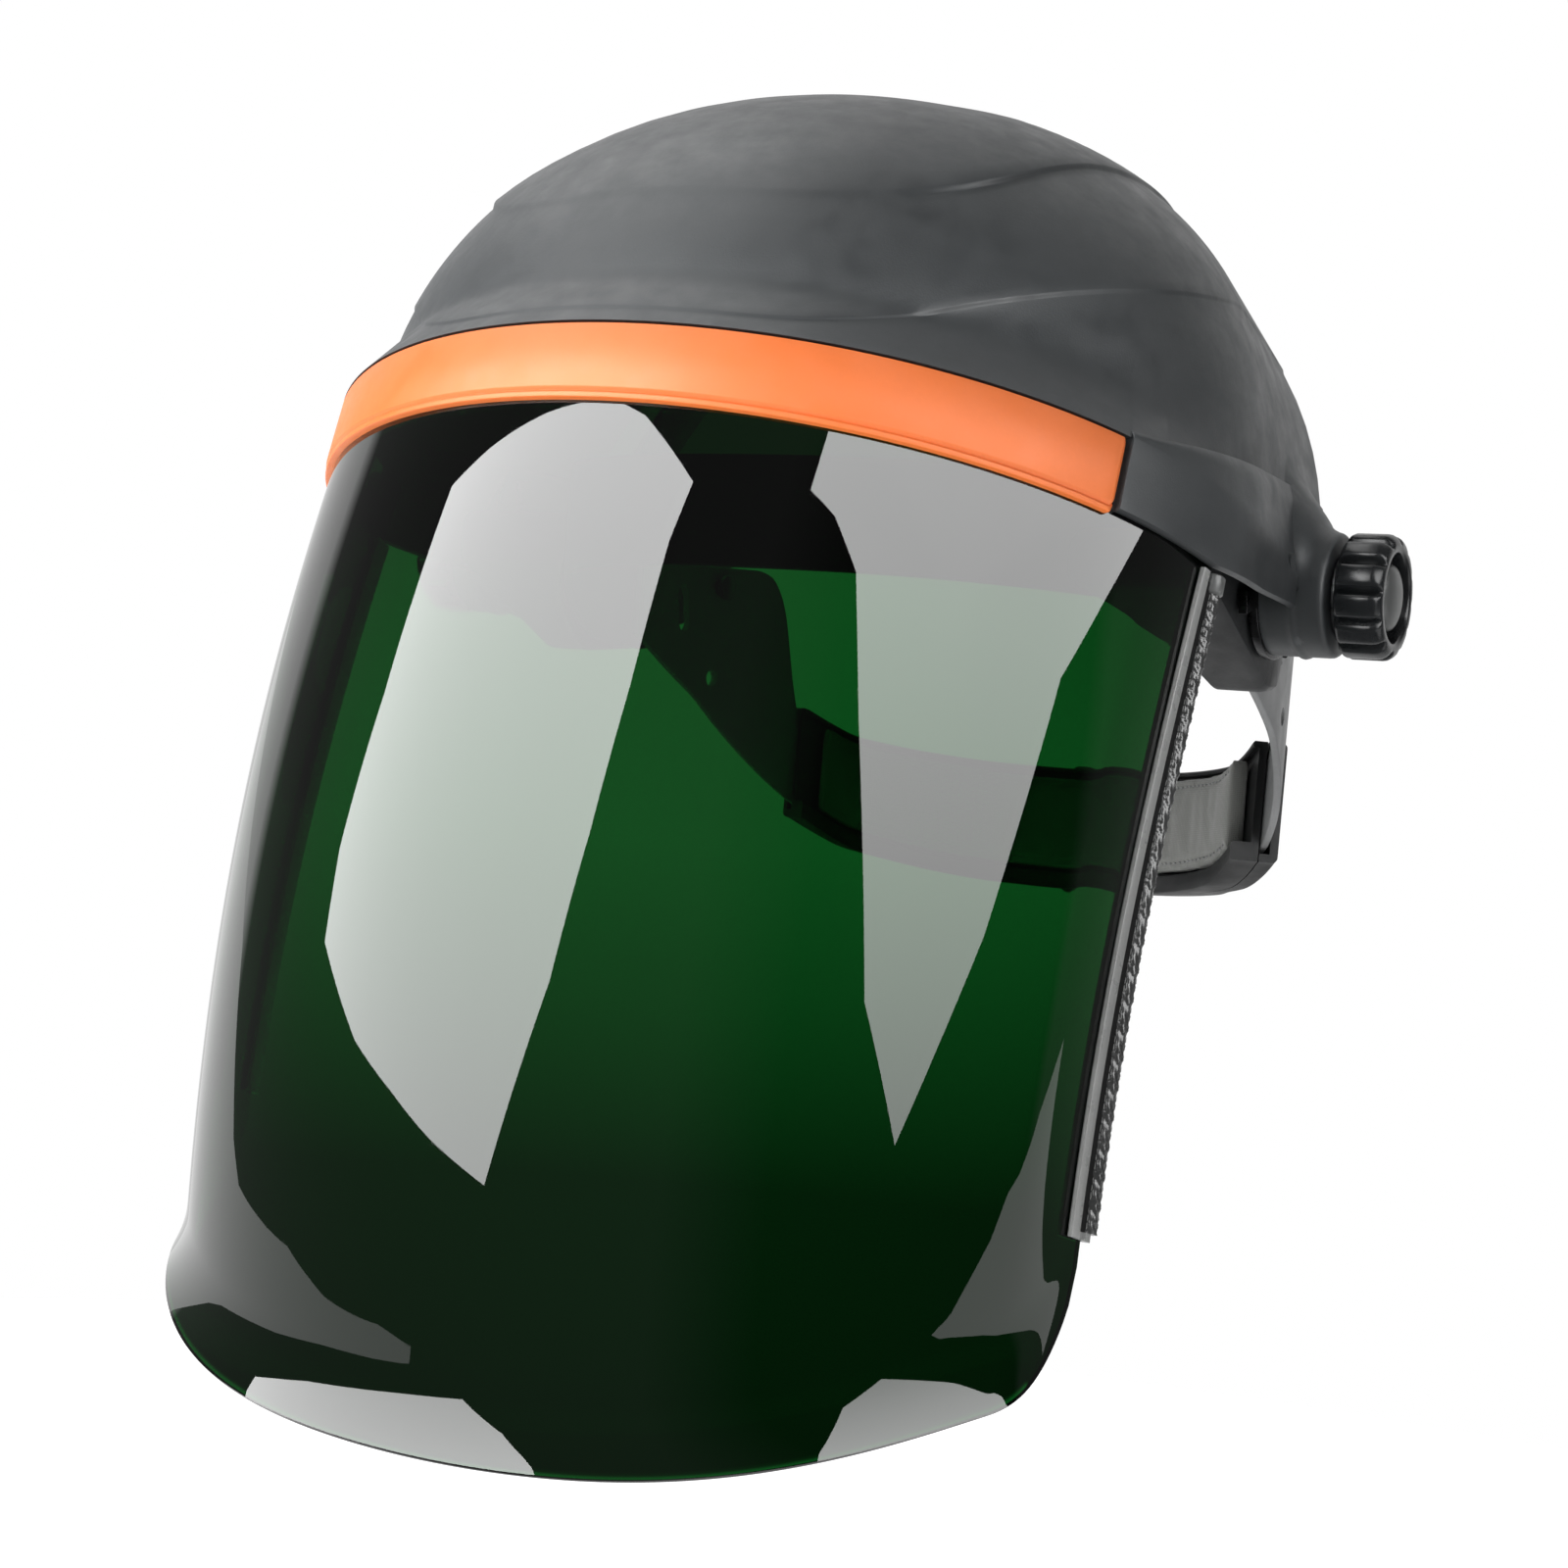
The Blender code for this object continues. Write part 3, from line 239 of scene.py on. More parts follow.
def mixed(tree, factor, first, second):
    """A colour between two; each is a colour or a socket."""
    made = node(tree, "ShaderNodeMix", data_type="RGBA")
    if hasattr(factor, "is_linked"):
        tree.links.new(factor, made.inputs["Factor"])
    else:
        made.inputs["Factor"].default_value = factor
    for name, value in (("A", first), ("B", second)):
        target = next(s for s in made.inputs if s.name == name and s.type == "RGBA")
        if hasattr(value, "is_linked"):
            tree.links.new(value, target)
        else:
            target.default_value = (*value, 1.0)
    return [s for s in made.outputs if s.type == "RGBA"][0]


def bump(tree, height, distance, strength=1.0, under=None):
    made = node(tree, "ShaderNodeBump")
    made.inputs["Distance"].default_value = distance
    made.inputs["Strength"].default_value = strength
    tree.links.new(height, made.inputs["Height"])
    if under is not None:
        tree.links.new(under, made.inputs["Normal"])
    return made.outputs["Normal"]


def moulded_plastic(name, colour, roughness, grain=1800.0, grain_depth=0.03, vary=0.18, worn=0.5,
                    specular=0.5, spread_rough=0.08, flow=(1, 1, 1)):
    """Moulded plastic: fine spark-eroded grain, faint flow marks, and edges rubbed paler."""
    made, tree, shader = nodes_of(name)
    pale = tuple(min(c * (1 + vary) + 0.004, 1.0) for c in colour)
    deep = tuple(c * (1 - vary) for c in colour)
    broad = remap(tree, noise(tree, 22.0, 4.0, 0.55, flow), 0.0, 1.0)
    body = mixed(tree, broad, deep, pale)
    speck = remap(tree, noise(tree, grain * 0.6, 2.0), 0.0, 0.35, 0.45, 0.75)
    body = mixed(tree, speck, body, pale)
    edge = node(tree, "ShaderNodeNewGeometry")
    scuff = remap(tree, edge.outputs["Pointiness"], 0.0, worn, 0.53, 0.62)
    rubbed = tuple(min(c * 1.7 + 0.03, 1.0) for c in colour)
    body = mixed(tree, scuff, body, rubbed)
    tree.links.new(body, shader.inputs["Base Color"])
    uneven = noise(tree, 130.0, 5.0, 0.6, flow)
    tree.links.new(remap(tree, uneven, roughness - spread_rough, roughness + spread_rough),
                   shader.inputs["Roughness"])
    shader.inputs["Specular IOR Level"].default_value = specular
    fine = bump(tree, noise(tree, grain, 3.0, 0.6), grain_depth * MM)
    tree.links.new(bump(tree, noise(tree, 60.0, 2.0), 0.05 * MM, 0.6, fine), shader.inputs["Normal"])
    return made


def brushed_metal(name, colour):
    made, tree, shader = nodes_of(name)
    streak = noise(tree, 900.0, 3.0, 0.6, (0.05, 1, 1))
    tree.links.new(mixed(tree, remap(tree, streak, 0, 1), tuple(c * 0.8 for c in colour), colour),
                   shader.inputs["Base Color"])
    shader.inputs["Metallic"].default_value = 1.0
    tree.links.new(remap(tree, streak, 0.22, 0.42), shader.inputs["Roughness"])
    tree.links.new(bump(tree, streak, 0.01 * MM), shader.inputs["Normal"])
    return made


def tinted_visor(name):
    """Clear dark green polycarbonate: smooth, faintly rippled, and it lets lamps through dimmed."""
    made, tree, shader = nodes_of(name)
    clear = (0.0032, 0.074, 0.0105)
    faded = mixed(tree, remap(tree, noise(tree, 9.0, 2.0), 0, 1), tuple(c * 0.88 for c in clear), clear)
    tree.links.new(faded, shader.inputs["Base Color"])
    shader.inputs["Transmission Weight"].default_value = 1.0
    shader.inputs["IOR"].default_value = 1.52
    tree.links.new(remap(tree, noise(tree, 420.0, 5.0, 0.65), 0.0, 0.035, 0.45, 0.8),
                   shader.inputs["Roughness"])
    tree.links.new(bump(tree, noise(tree, 14.0, 1.0), 0.12 * MM, 0.5), shader.inputs["Normal"])
    rays = node(tree, "ShaderNodeLightPath")
    lamp_tint = node(tree, "ShaderNodeBsdfTransparent")
    lamp_tint.inputs["Color"].default_value = (0.03, 0.12, 0.05, 1.0)
    choice = node(tree, "ShaderNodeMixShader")
    tree.links.new(rays.outputs["Is Shadow Ray"], choice.inputs["Fac"])
    tree.links.new(shader.outputs["BSDF"], choice.inputs[1])
    tree.links.new(lamp_tint.outputs["BSDF"], choice.inputs[2])
    tree.links.new(choice.outputs["Shader"], tree.nodes["Material Output"].inputs["Surface"])
    return made


def wave(tree, scale, direction, distortion=0.3):
    place = node(tree, "ShaderNodeTexCoord")
    made = node(tree, "ShaderNodeTexWave", bands_direction=direction, in_Scale=scale,
                in_Distortion=distortion)
    tree.links.new(place.outputs["Object"], made.inputs["Vector"])
    return made.outputs["Fac"]


def knitted(name, colour, scale=620.0):
    """Brushed jersey over foam: fine ribs crossed by stitches, with a soft nap."""
    made, tree, shader = nodes_of(name)
    ribs = node(tree, "ShaderNodeMath", operation="MULTIPLY")
    tree.links.new(wave(tree, scale, "Z"), ribs.inputs[0])
    tree.links.new(wave(tree, scale, "X"), ribs.inputs[1])
    blotch = remap(tree, noise(tree, 55.0, 4.0), 0, 1)
    deep = tuple(c * 0.72 for c in colour)
    body = mixed(tree, ribs.outputs["Value"], deep, colour)
    body = mixed(tree, blotch, tuple(c * 0.8 for c in colour), body)
    tree.links.new(body, shader.inputs["Base Color"])
    tree.links.new(remap(tree, noise(tree, 300.0), 0.85, 0.98), shader.inputs["Roughness"])
    shader.inputs["Sheen Weight"].default_value = 0.35
    shader.inputs["Specular IOR Level"].default_value = 0.2
    nap = bump(tree, noise(tree, 1500.0, 4.0, 0.7), 0.08 * MM)
    tree.links.new(bump(tree, ribs.outputs["Value"], 0.07 * MM, 1.0, nap), shader.inputs["Normal"])
    return made


def make_materials():
    looks = {
        "crown_grey": ((0.0225, 0.0255, 0.0275), 0.47, 2200.0, 0.035, 0.12, 0.5, 0.5),
        "band_orange": ((0.82, 0.180, 0.036), 0.42, 1500.0, 0.012, 0.05, 0.3, 0.4),
        "trim_grey": ((0.070, 0.073, 0.072), 0.36, 1600.0, 0.02, 0.15, 0.8),
        "trim_pale": ((0.26, 0.265, 0.26), 0.30, 1600.0, 0.015, 0.1, 0.3),
        "bead_grey": ((0.040, 0.041, 0.041), 0.2, 1200.0, 0.01, 0.1, 1.0, 0.6),
        # painted shade: a black sheet laid in the groove between the strip and the bead, standing in for the
        # shade that falls in that groove
        "groove_shade_black": ((0.004, 0.004, 0.004), 0.6, 1200.0, 0.01, 0.1, 0.1, 0.1),
        "gear_black": ((0.014, 0.015, 0.016), 0.5, 1700.0, 0.03, 0.2, 0.6, 0.3),
        # painted shade: gear_black made darker for the nape pieces, to take back the side light that falls
        # on them
        "gear_black_shaded": ((0.007, 0.0075, 0.008), 0.5, 1700.0, 0.03, 0.2, 0.4, 0.25),
        "strap_grey": ((0.14, 0.143, 0.145), 0.45, 1400.0, 0.03, 0.1, 0.4),
        "knob_black": ((0.006, 0.007, 0.008), 0.25, 1200.0, 0.008, 0.2, 0.5, 0.35, 0.05),
        "rack_white": ((0.52, 0.53, 0.52), 0.4, 1400.0, 0.02, 0.06, 0.2),
    }
    made = {name: moulded_plastic(name, *look) for name, look in looks.items()}
    made["visor_green"] = tinted_visor("visor_green")
    made["pad_grey"] = knitted("pad_grey", (0.20, 0.203, 0.192))
    made["steel"] = brushed_metal("steel", (0.50, 0.51, 0.52))
    made["steel_dark"] = brushed_metal("steel_dark", (0.05, 0.05, 0.052))
    return made


MATERIALS = make_materials()


# ---------------------------------------------------------------- mesh helpers

def linked(name, mesh):
    obj = bpy.data.objects.new(name, mesh)
    bpy.context.scene.collection.objects.link(obj)
    return obj


def solid_object(name, bm, lean):
    """The bmesh, in millimetres, as an object in metres with its faces turned outwards."""
    bmesh.ops.recalc_face_normals(bm, faces=bm.faces)
    if bm.calc_volume(signed=True) < 0:
        bmesh.ops.reverse_faces(bm, faces=bm.faces)
    mesh = bpy.data.meshes.new(name)
    bm.to_mesh(mesh)
    bm.free()
    mesh.transform(Matrix.Scale(MM, 4))
    if lean:
        mesh.transform(Matrix.Rotation(-radians(SHIELD_LEAN), 4, "X"))
    return linked(name, mesh)


def place_mesh(name, bm, slot, body, replaces=(), lean=False, sharp=38.0):
    """The bmesh as a finished piece of the object."""
    return dress(solid_object(name, bm, lean), slot, body, replaces, sharp)


def tool(bm, lean=False):
    """A cutter for a Boolean."""
    return solid_object("tool", bm, lean)


def dress(obj, slot, body, replaces=(), sharp=38.0):
    obj.data.materials.clear()
    obj.data.materials.append(MATERIALS[slot])
    soften(obj, sharp)
    if body:
        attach(obj, body)
    if replaces:
        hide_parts(*replaces)
    return obj


def soften(obj, sharp):
    obj.data.polygons.foreach_set("use_smooth", [True] * len(obj.data.polygons))
    obj.data.set_sharp_from_angle(angle=radians(sharp))


def apply_modifiers(obj):
    graph = bpy.context.evaluated_depsgraph_get()
    mesh = bpy.data.meshes.new_from_object(obj.evaluated_get(graph))
    obj.modifiers.clear()
    obj.data = mesh
    return obj


def cut(obj, *steps):
    """Applies (operation, cutter) Booleans and throws the cutters away."""
    for operation, cutter in steps:
        modifier = obj.modifiers.new("cut", "BOOLEAN")
        modifier.object = cutter
        modifier.operation = operation
        modifier.solver = "EXACT"
    apply_modifiers(obj)
    for _, cutter in steps:
        bpy.data.objects.remove(cutter)
    return obj


def swept(bm, loops):
    """A solid through closed loops of equal length, capped at both ends."""
    rings = [[bm.verts.new(point) for point in loop] for loop in loops]
    count = len(rings[0])
    for first, second in zip(rings, rings[1:]):
        for i in range(count):
            j = (i + 1) % count
            bm.faces.new((first[i], first[j], second[j], second[i]))
    bm.faces.new(rings[0][::-1])
    bm.faces.new(rings[-1])
    return bm


def turned(bm, profile, side=1, centre=(0.0, 0.0), segments=48, axis="X"):
    """A solid of revolution through (radius, place) pairs, capped at both ends."""
    rings = []
    for radius, place in profile:
        ring = []
        for angle in round_angles(segments):
            u, v = centre[0] + radius * cos(angle), centre[1] + radius * sin(angle)
            ring.append((side * place, u, v) if axis == "X" else (u, place, v))
        rings.append(ring)
    return swept(bm, rings)


def skin_solid(bm, outer, inner, rim=0.55, steps=3):
    """A shell between two grids of points, with its free edges rolled round."""
    rows, columns = len(outer), len(outer[0])

    def grid(points):
        return [[bm.verts.new(p) for p in row] for row in points]

    top, under = grid(outer), grid(inner)
    for skin in (top, under):
        for r in range(rows - 1):
            for c in range(columns - 1):
                bm.faces.new((skin[r][c], skin[r][c + 1], skin[r + 1][c + 1], skin[r + 1][c]))
    border = [(0, c) for c in range(columns)] + [(r, columns - 1) for r in range(1, rows)]
    border += [(rows - 1, c) for c in range(columns - 2, -1, -1)] + [(r, 0) for r in range(rows - 2, 0, -1)]
    rolls = [[top[r][c] for r, c in border]]
    for k in range(1, steps + 1):
        share = k / (steps + 1)
        roll = []
        for r, c in border:
            a, b = Vector(outer[r][c]), Vector(inner[r][c])
            back_r = min(max(r, 1), rows - 2)
            back_c = min(max(c, 1), columns - 2)
            away = (a - Vector(outer[back_r][back_c]))
            across = b - a
            if across.length > 1e-6:
                away = away - across * (away.dot(across) / across.length_squared)
            away = away.normalized() if away.length > 1e-6 else Vector((0, 0, 0))
            roll.append(bm.verts.new(a.lerp(b, share) + away * rim * sin(pi * share)))
        rolls.append(roll)
    rolls.append([under[r][c] for r, c in border])
    count = len(border)
    for first, second in zip(rolls, rolls[1:]):
        for i in range(count):
            j = (i + 1) % count
            bm.faces.new((first[i], first[j], second[j], second[i]))
    bmesh.ops.remove_doubles(bm, verts=bm.verts, dist=0.004)
    return bm


# ---------------------------------------------------------------- the shield's surfaces

def brow_z(y):
    return BROW_FRONT_Z + BROW_RISE * (y - FRONT_Y)


def shield_point(angle, depth, z):
    """A point on the shield's upright wall, depth in from its outer surface. angle is in degrees."""
    t = radians(angle)
    x = (HALF_WIDTH - depth) * sin(t)
    y = PLAN_CENTRE_Y - (PLAN_DEPTH - depth) * cos(t)
    return (x, y + BELLY * min(z, 0.0) ** 2, z)


def outward(angle):
    t = radians(angle)
    nx, ny = sin(t) / HALF_WIDTH, -cos(t) / PLAN_DEPTH
    size = hypot(nx, ny)
    return nx / size, ny / size


def crown_stations():
    """(kind, side, place, crease angle) of the crown's columns, from the right ear to the left."""
    wall = spread(CROWN_REAR_Y, PLAN_CENTRE_Y, 34)[:-1]
    steps = [BAND_END - 0.5, BAND_END + 0.5]
    quarter = sorted(a for a in spread(0, 90, 91)[1:] if min(abs(a - s) for s in steps) > 0.4)
    quarter = sorted(quarter + steps)

    def beyond(y):
        return 90 + 30 * (y - PLAN_CENTRE_Y) / (CROWN_REAR_Y - PLAN_CENTRE_Y)

    right = [("wall", -1, y, beyond(y)) for y in wall]
    front = [("arc", 1, a, abs(a)) for a in [-q for q in reversed(quarter)] + [0.0] + quarter]
    left = [("wall", 1, y, beyond(y)) for y in reversed(wall)]
    return right + front + left


def crown_plan(station, depth):
    kind, side, value, _ = station
    if kind == "wall":
        return side * (HALF_WIDTH - depth), value
    x, y, _ = shield_point(value, depth, 0.0)
    return x, y


def side_edge_z(y):
    line = along(EDGE_LINE, y)
    if abs(y) < EAR_RADIUS - 1:
        line = min(line, -sqrt(EAR_RADIUS ** 2 - y ** 2))
    return line


def crown_share(height):
    """How much of its plan the crown keeps at a height from 0 at the brow to 1 on top."""
    tuck = 1 - CROWN_TUCK * min(height / 0.12, 1.0) * max(1 - height / 0.85, 0.0)
    return sqrt(max(1 - height * height, 0.0)) * tuck


def crown_step(crease):
    """The upper step's height and width at this plan angle: soft in front, crisp at the corners."""
    share = ease((crease - 26) / 16)
    low, high = HIGH_STEP
    wide, narrow = STEP_WIDTH
    return low + (high - low) * share, wide + (narrow - wide) * share


def crown_relief(z, low, high, crease):
    """How far the raised panels stand out of the crown's surface at this height."""
    fade = ease((CROWN_TOP_Z - z) / 14.0)
    step, width = crown_step(crease)
    return LOW_STEP * ease((z - low) / STEP_WIDTH[1]) + step * fade * ease((z - high) / width)


def crown_heights(start, low, high, top, crease):
    """The rows of one column, packed close where the surface steps."""
    _, width = crown_step(crease)
    low_end = low + STEP_WIDTH[1]
    rows = spread(start, low, 6)[:-1] + spread(low, low_end, 5)
    rows += spread(low_end, high, 16)[1:-1] + spread(high, high + width, 5)
    angles = spread(asin((high + width) / top), pi / 2, 22)[1:]
    return rows + [top * sin(a) for a in angles]


def rim_wall(station, depth, low_z, shelf_z):
    """The set-back wall behind the band, up to its shelf."""
    middle_z = (low_z + shelf_z) / 2
    x, y = crown_plan(station, depth)
    heights = spread(low_z, middle_z, 5)[:-1] + spread(middle_z, shelf_z, 7)
    return [(x, y + BELLY * min(z, 0.0) ** 2, z) for z in heights]


def side_wall(station, depth, low_z, base_z, shelf_z):
    """The side panel's wall, which leans in as it rises and rounds over into its shelf."""
    x, y = crown_plan(station, depth)
    points = []
    for z in spread(low_z, base_z, 5)[:-1] + spread(base_z, shelf_z, 7):
        taper = 1 - SHOULDER_TAPER * max(z - base_z, 0.0)
        if shelf_z - z < SHOULDER_ROUND:
            past = 1 - (shelf_z - z) / SHOULDER_ROUND
            taper -= 0.7 * (1 - sqrt(max(1 - past ** 2, 0.0))) / HALF_WIDTH
        points.append((x * taper, y + BELLY * min(z, 0.0) ** 2, z))
    return points


def dome_column(station, inner, start_z, first):
    """The dome above a wall, from first above start_z to the top."""
    wall = CROWN_WALL if inner else 0.0
    x, y = crown_plan(station, wall)
    crease = station[3]
    low = max(smoothly(LOW_CREASE, crease, 4.0) - start_z, first + 0.4)
    high = smoothly(HIGH_CREASE, crease, 4.0) - start_z
    span = CROWN_TOP_Z - wall - start_z
    ground = max(first, 0.0)
    points = []
    for rise in crown_heights(ground, max(low, ground + 0.5), high, span, crease):
        up = min(rise / span, 1.0)
        share = crown_share(up)
        raised = 0.0 if inner else crown_relief(rise, low, high, crease)
        px, py = x * share, CROWN_REAR_Y + (y - CROWN_REAR_Y) * share
        reach = hypot(px, py - CROWN_REAR_Y)
        grow = 1 + raised * (1 - up * up) / reach if reach > 8 else 1.0
        points.append((px * grow, CROWN_REAR_Y + (py - CROWN_REAR_Y) * grow,
                       start_z + rise + raised * up * share))
    return points


def crown_column(station, inner):
    """One column of the crown's outer or inner skin, from its lower edge to the top."""
    wall = CROWN_WALL if inner else 0.0
    _, y = crown_plan(station, 0.0)
    base_z = brow_z(y)
    if station[0] == "arc" and abs(station[2]) < BAND_END:
        shelf_z = base_z + wall
        points = rim_wall(station, RIM_DEPTH + wall, base_z - RIM_HEIGHT, shelf_z)
        return points + dome_column(station, inner, shelf_z, 0.0)
    shelf_z = smoothly(SHOULDER_LINE, y, 6.0)
    points = side_wall(station, wall, side_edge_z(y), base_z, shelf_z)
    return points + dome_column(station, inner, base_z, shelf_z + 0.8 - base_z)


def crown_shell():
    stations = crown_stations()
    outer = [crown_column(station, False) for station in stations]
    inner = [crown_column(station, True) for station in stations]
    shell = place_mesh("crown_skin", skin_solid(bmesh.new(), outer, inner), "crown_grey", None, (), True)
    steps = []
    for side in SIDES.values():
        steps.append(("UNION", tool(ear_boss(side), True)))
        pin = turned(bmesh.new(), ((STOP_PIN_RADIUS, STOP_FACE_X + GAP), (STOP_PIN_RADIUS, 112.0)), side,
                     (-STOP_PIN_ORBIT, 0.0), 16)
        steps.append(("UNION", tool(pin, True)))
        hole = turned(bmesh.new(), ((BOLT_HOLE_RADIUS, 100), (BOLT_HOLE_RADIUS, 125)), side, segments=32)
        steps.append(("DIFFERENCE", tool(hole, True)))
        steps.append(("DIFFERENCE", tool(visor_slot(side), True)))
    steps.append(("DIFFERENCE", tool(stud_holes(RIM_DEPTH - 1.0, RIM_DEPTH + CROWN_WALL + 1), True)))
    cut(shell, *steps)
    return dress(shell, "crown_grey", "shield", ("crown_shell",), 40.0)


def ear_boss(side, points=72):
    """The ear boss: a round face whose barrel swells upwards into the crown's side panel."""
    loops = []
    for x in (103.0, 106.0, 109.0, 111.0, 112.5, 113.5, 115.0, 116.5, 117.2, 117.6, 117.9, BOSS_OUTER_X):
        swell = 15.0 * (max(BOSS_OUTER_X - 1.0 - x, 0.0) / 14.0) ** 1.5
        foot = 1.4 * ease((114.0 - x) / 2.5)
        inset = 1.2 - sqrt(max(1.44 - max(x - BOSS_OUTER_X + 1.2, 0.0) ** 2, 0.0))
        loop = []
        for a in round_angles(points):
            up = max(sin(a), 0.0)
            reach = EAR_RADIUS - inset + swell * up ** 1.4 + foot * ease((sin(a) + 0.3) / 0.6)
            loop.append((side * x, reach * cos(a), reach * sin(a)))
        loops.append(loop)
    return swept(bmesh.new(), loops)


def visor_slot(side):
    near, far = CROWN_WALL + 0.04, RIM_DEPTH - 0.04
    loops = []
    for angle in spread(BAND_END - 3, BAND_END + 4, 5):
        top_z = brow_z(shield_point(angle, 0, 0)[1]) - 0.1
        loops.append([shield_point(side * angle, near, top_z), shield_point(side * angle, near, -40),
                      shield_point(side * angle, far, -40), shield_point(side * angle, far, top_z)])
    return swept(bmesh.new(), loops)


def stud_holes(near, far, segments=20):
    bm = bmesh.new()
    for angle in STUD_ANGLES:
        nx, ny = outward(angle)
        z = brow_z(shield_point(angle, 0, 0)[1]) - 0.5 * BAND_HEIGHT
        x, y, _ = shield_point(angle, 0.0, z)
        rings = []
        for depth in (near, far):
            ring = []
            for a in round_angles(segments):
                across, up = STUD_HOLE_RADIUS * cos(a), STUD_HOLE_RADIUS * sin(a)
                ring.append((x - nx * depth - ny * across, y - ny * depth + nx * across, z + up))
            rings.append(ring)
        swept(bm, rings)
    return bm


def brow_band():
    """The satin band over the visor's top edge, with a fine lip along its foot and rounded ends."""
    end = BAND_END - 0.8
    corner = 0.9
    tips = [end - degrees(d / PLAN_DEPTH) for d in (0, 0.08, 0.2, 0.4, 0.65, corner)]
    angles = [-a for a in tips] + spread(-tips[-1], tips[-1], 121)[1:-1] + list(reversed(tips))
    loops = []
    for angle in angles:
        from_end = radians(end - abs(angle)) * PLAN_DEPTH
        inset = 0.0
        if from_end < corner:
            inset = corner - sqrt(max(corner ** 2 - (corner - from_end) ** 2, 0.0))
        soft = 0.5 * (1 - ease(from_end / 0.8))
        top_z = brow_z(shield_point(angle, 0, 0)[1]) - 0.4
        low_z = top_z - BAND_HEIGHT + inset
        high_z = top_z - inset
        profile = ((0.5, high_z), (0.15, high_z - 0.15), (0.0, high_z - 0.5), (0.0, (high_z + low_z) / 2),
                   (0.0, low_z + 2.3), (0.12, low_z + 2.0), (0.5, low_z + 1.75), (0.62, low_z + 1.5),
                   (0.5, low_z + 1.25), (0.3, low_z + 1.0), (0.3, low_z + 0.5), (0.45, low_z + 0.15),
                   (0.8, low_z), (BAND_WALL, low_z), (BAND_WALL, high_z))
        loops.append([shield_point(angle, min(depth + soft, BAND_WALL), z) for depth, z in profile])
    place_mesh("brow_band_trim", swept(bmesh.new(), loops), "band_orange", "shield", ("brow_band",), True)


# ---------------------------------------------------------------- visor

def visor_edge_angle(z):
    """The plan angle of the side edge, which draws in below the pivots and then runs straight."""
    share = max(z / NARROWING_END_Z, 0.0)
    past_bend = min(max(share - 0.6, 0.0), 0.8)
    return VISOR_EDGE_ANGLE - VISOR_EDGE_NARROWING * (min(share, 1.4) - past_bend ** 2 / 1.6)


def visor_bottom(angle):
    across = sin(radians(angle))
    z = VISOR_BOTTOM_Z + VISOR_BOTTOM_RISE[0] * across ** 2 + VISOR_BOTTOM_RISE[1] * across ** 4
    from_edge = radians(visor_edge_angle(z) - abs(angle)) * PLAN_DEPTH
    if from_edge < VISOR_CORNER:
        inside = VISOR_CORNER - max(from_edge, 0.0)
        z += VISOR_CORNER - sqrt(VISOR_CORNER ** 2 - inside ** 2)
    return z


def visor_point(share, down, depth):
    """share runs from -1 to 1 across the visor and down from 0 to 1 from its top to its bottom."""
    angle = share * VISOR_EDGE_ANGLE
    top_z = brow_z(shield_point(angle, 0, 0)[1]) - 0.4
    for _ in range(4):
        low_z = visor_bottom(angle)
        z = top_z + (low_z - top_z) * down
        angle = share * visor_edge_angle(z)
    lip = VISOR_LIP * min(max((low_z + VISOR_LIP_HEIGHT - z) / VISOR_LIP_HEIGHT, 0.0), 1.0) ** 2
    swell = VISOR_SWELL * sin(pi * min(max((top_z - z) / (top_z - low_z), 0.0), 1.0))
    return shield_point(angle, depth - (lip + swell) * ease((1 - abs(share)) / 0.15), z)


def visor():
    shares = [sin(pi / 2 * s) * 0.35 + s * 0.65 for s in spread(-1, 1, 151)]
    downs = [0.9 * s for s in spread(0, 1, 46)] + [0.9 + 0.1 * s for s in spread(0, 1, 19)[1:]]
    outer = [[visor_point(s, d, VISOR_DEPTH) for d in downs] for s in shares]
    inner = [[visor_point(s, d, VISOR_DEPTH + VISOR_WALL) for d in downs] for s in shares]
    bm = skin_solid(bmesh.new(), outer, inner, 0.5, 3)
    sheet = place_mesh("visor_glass", bm, "visor_green", None, (), True)
    cut(sheet, ("DIFFERENCE", tool(stud_holes(VISOR_DEPTH - 1, RIM_DEPTH - 0.1), True)))
    dress(sheet, "visor_green", "shield", ("visor",), 50.0)


TRIM_BEAD = 1.5
TRIM_TWIST = 2.9  # mm along the edge for each ridge of the knurl
TRIM_RIDGES = 5
TRIM_RIDGE_HEIGHT = 0.27
TRIM_HALF = VISOR_WALL / 2 + GAP
TRIM_FACE = TRIM_HALF + TRIM_WALL  # from the middle of the visor's wall to the strip's outer face


def trim_stations(side):
    """Places down the visor's side edge: a point, and the directions outwards and past the edge."""
    lowest_z = visor_bottom(VISOR_EDGE_ANGLE) + 2
    stations = []
    for z in spread(TRIM_TOP_Z, lowest_z, 260):
        angle = side * visor_edge_angle(z)
        nx, ny = outward(angle)
        place = Vector(shield_point(angle, VISOR_DEPTH + VISOR_WALL / 2, z))
        stations.append((place, Vector((nx, ny, 0)), Vector((-ny * side, nx * side, 0))))
    return stations


def along_trim(stations, profile):
    """Sections along the edge; profile is (past the edge, outwards) for each point."""
    return [[place + past * g + out * n for g, n in profile] for place, out, past in stations]


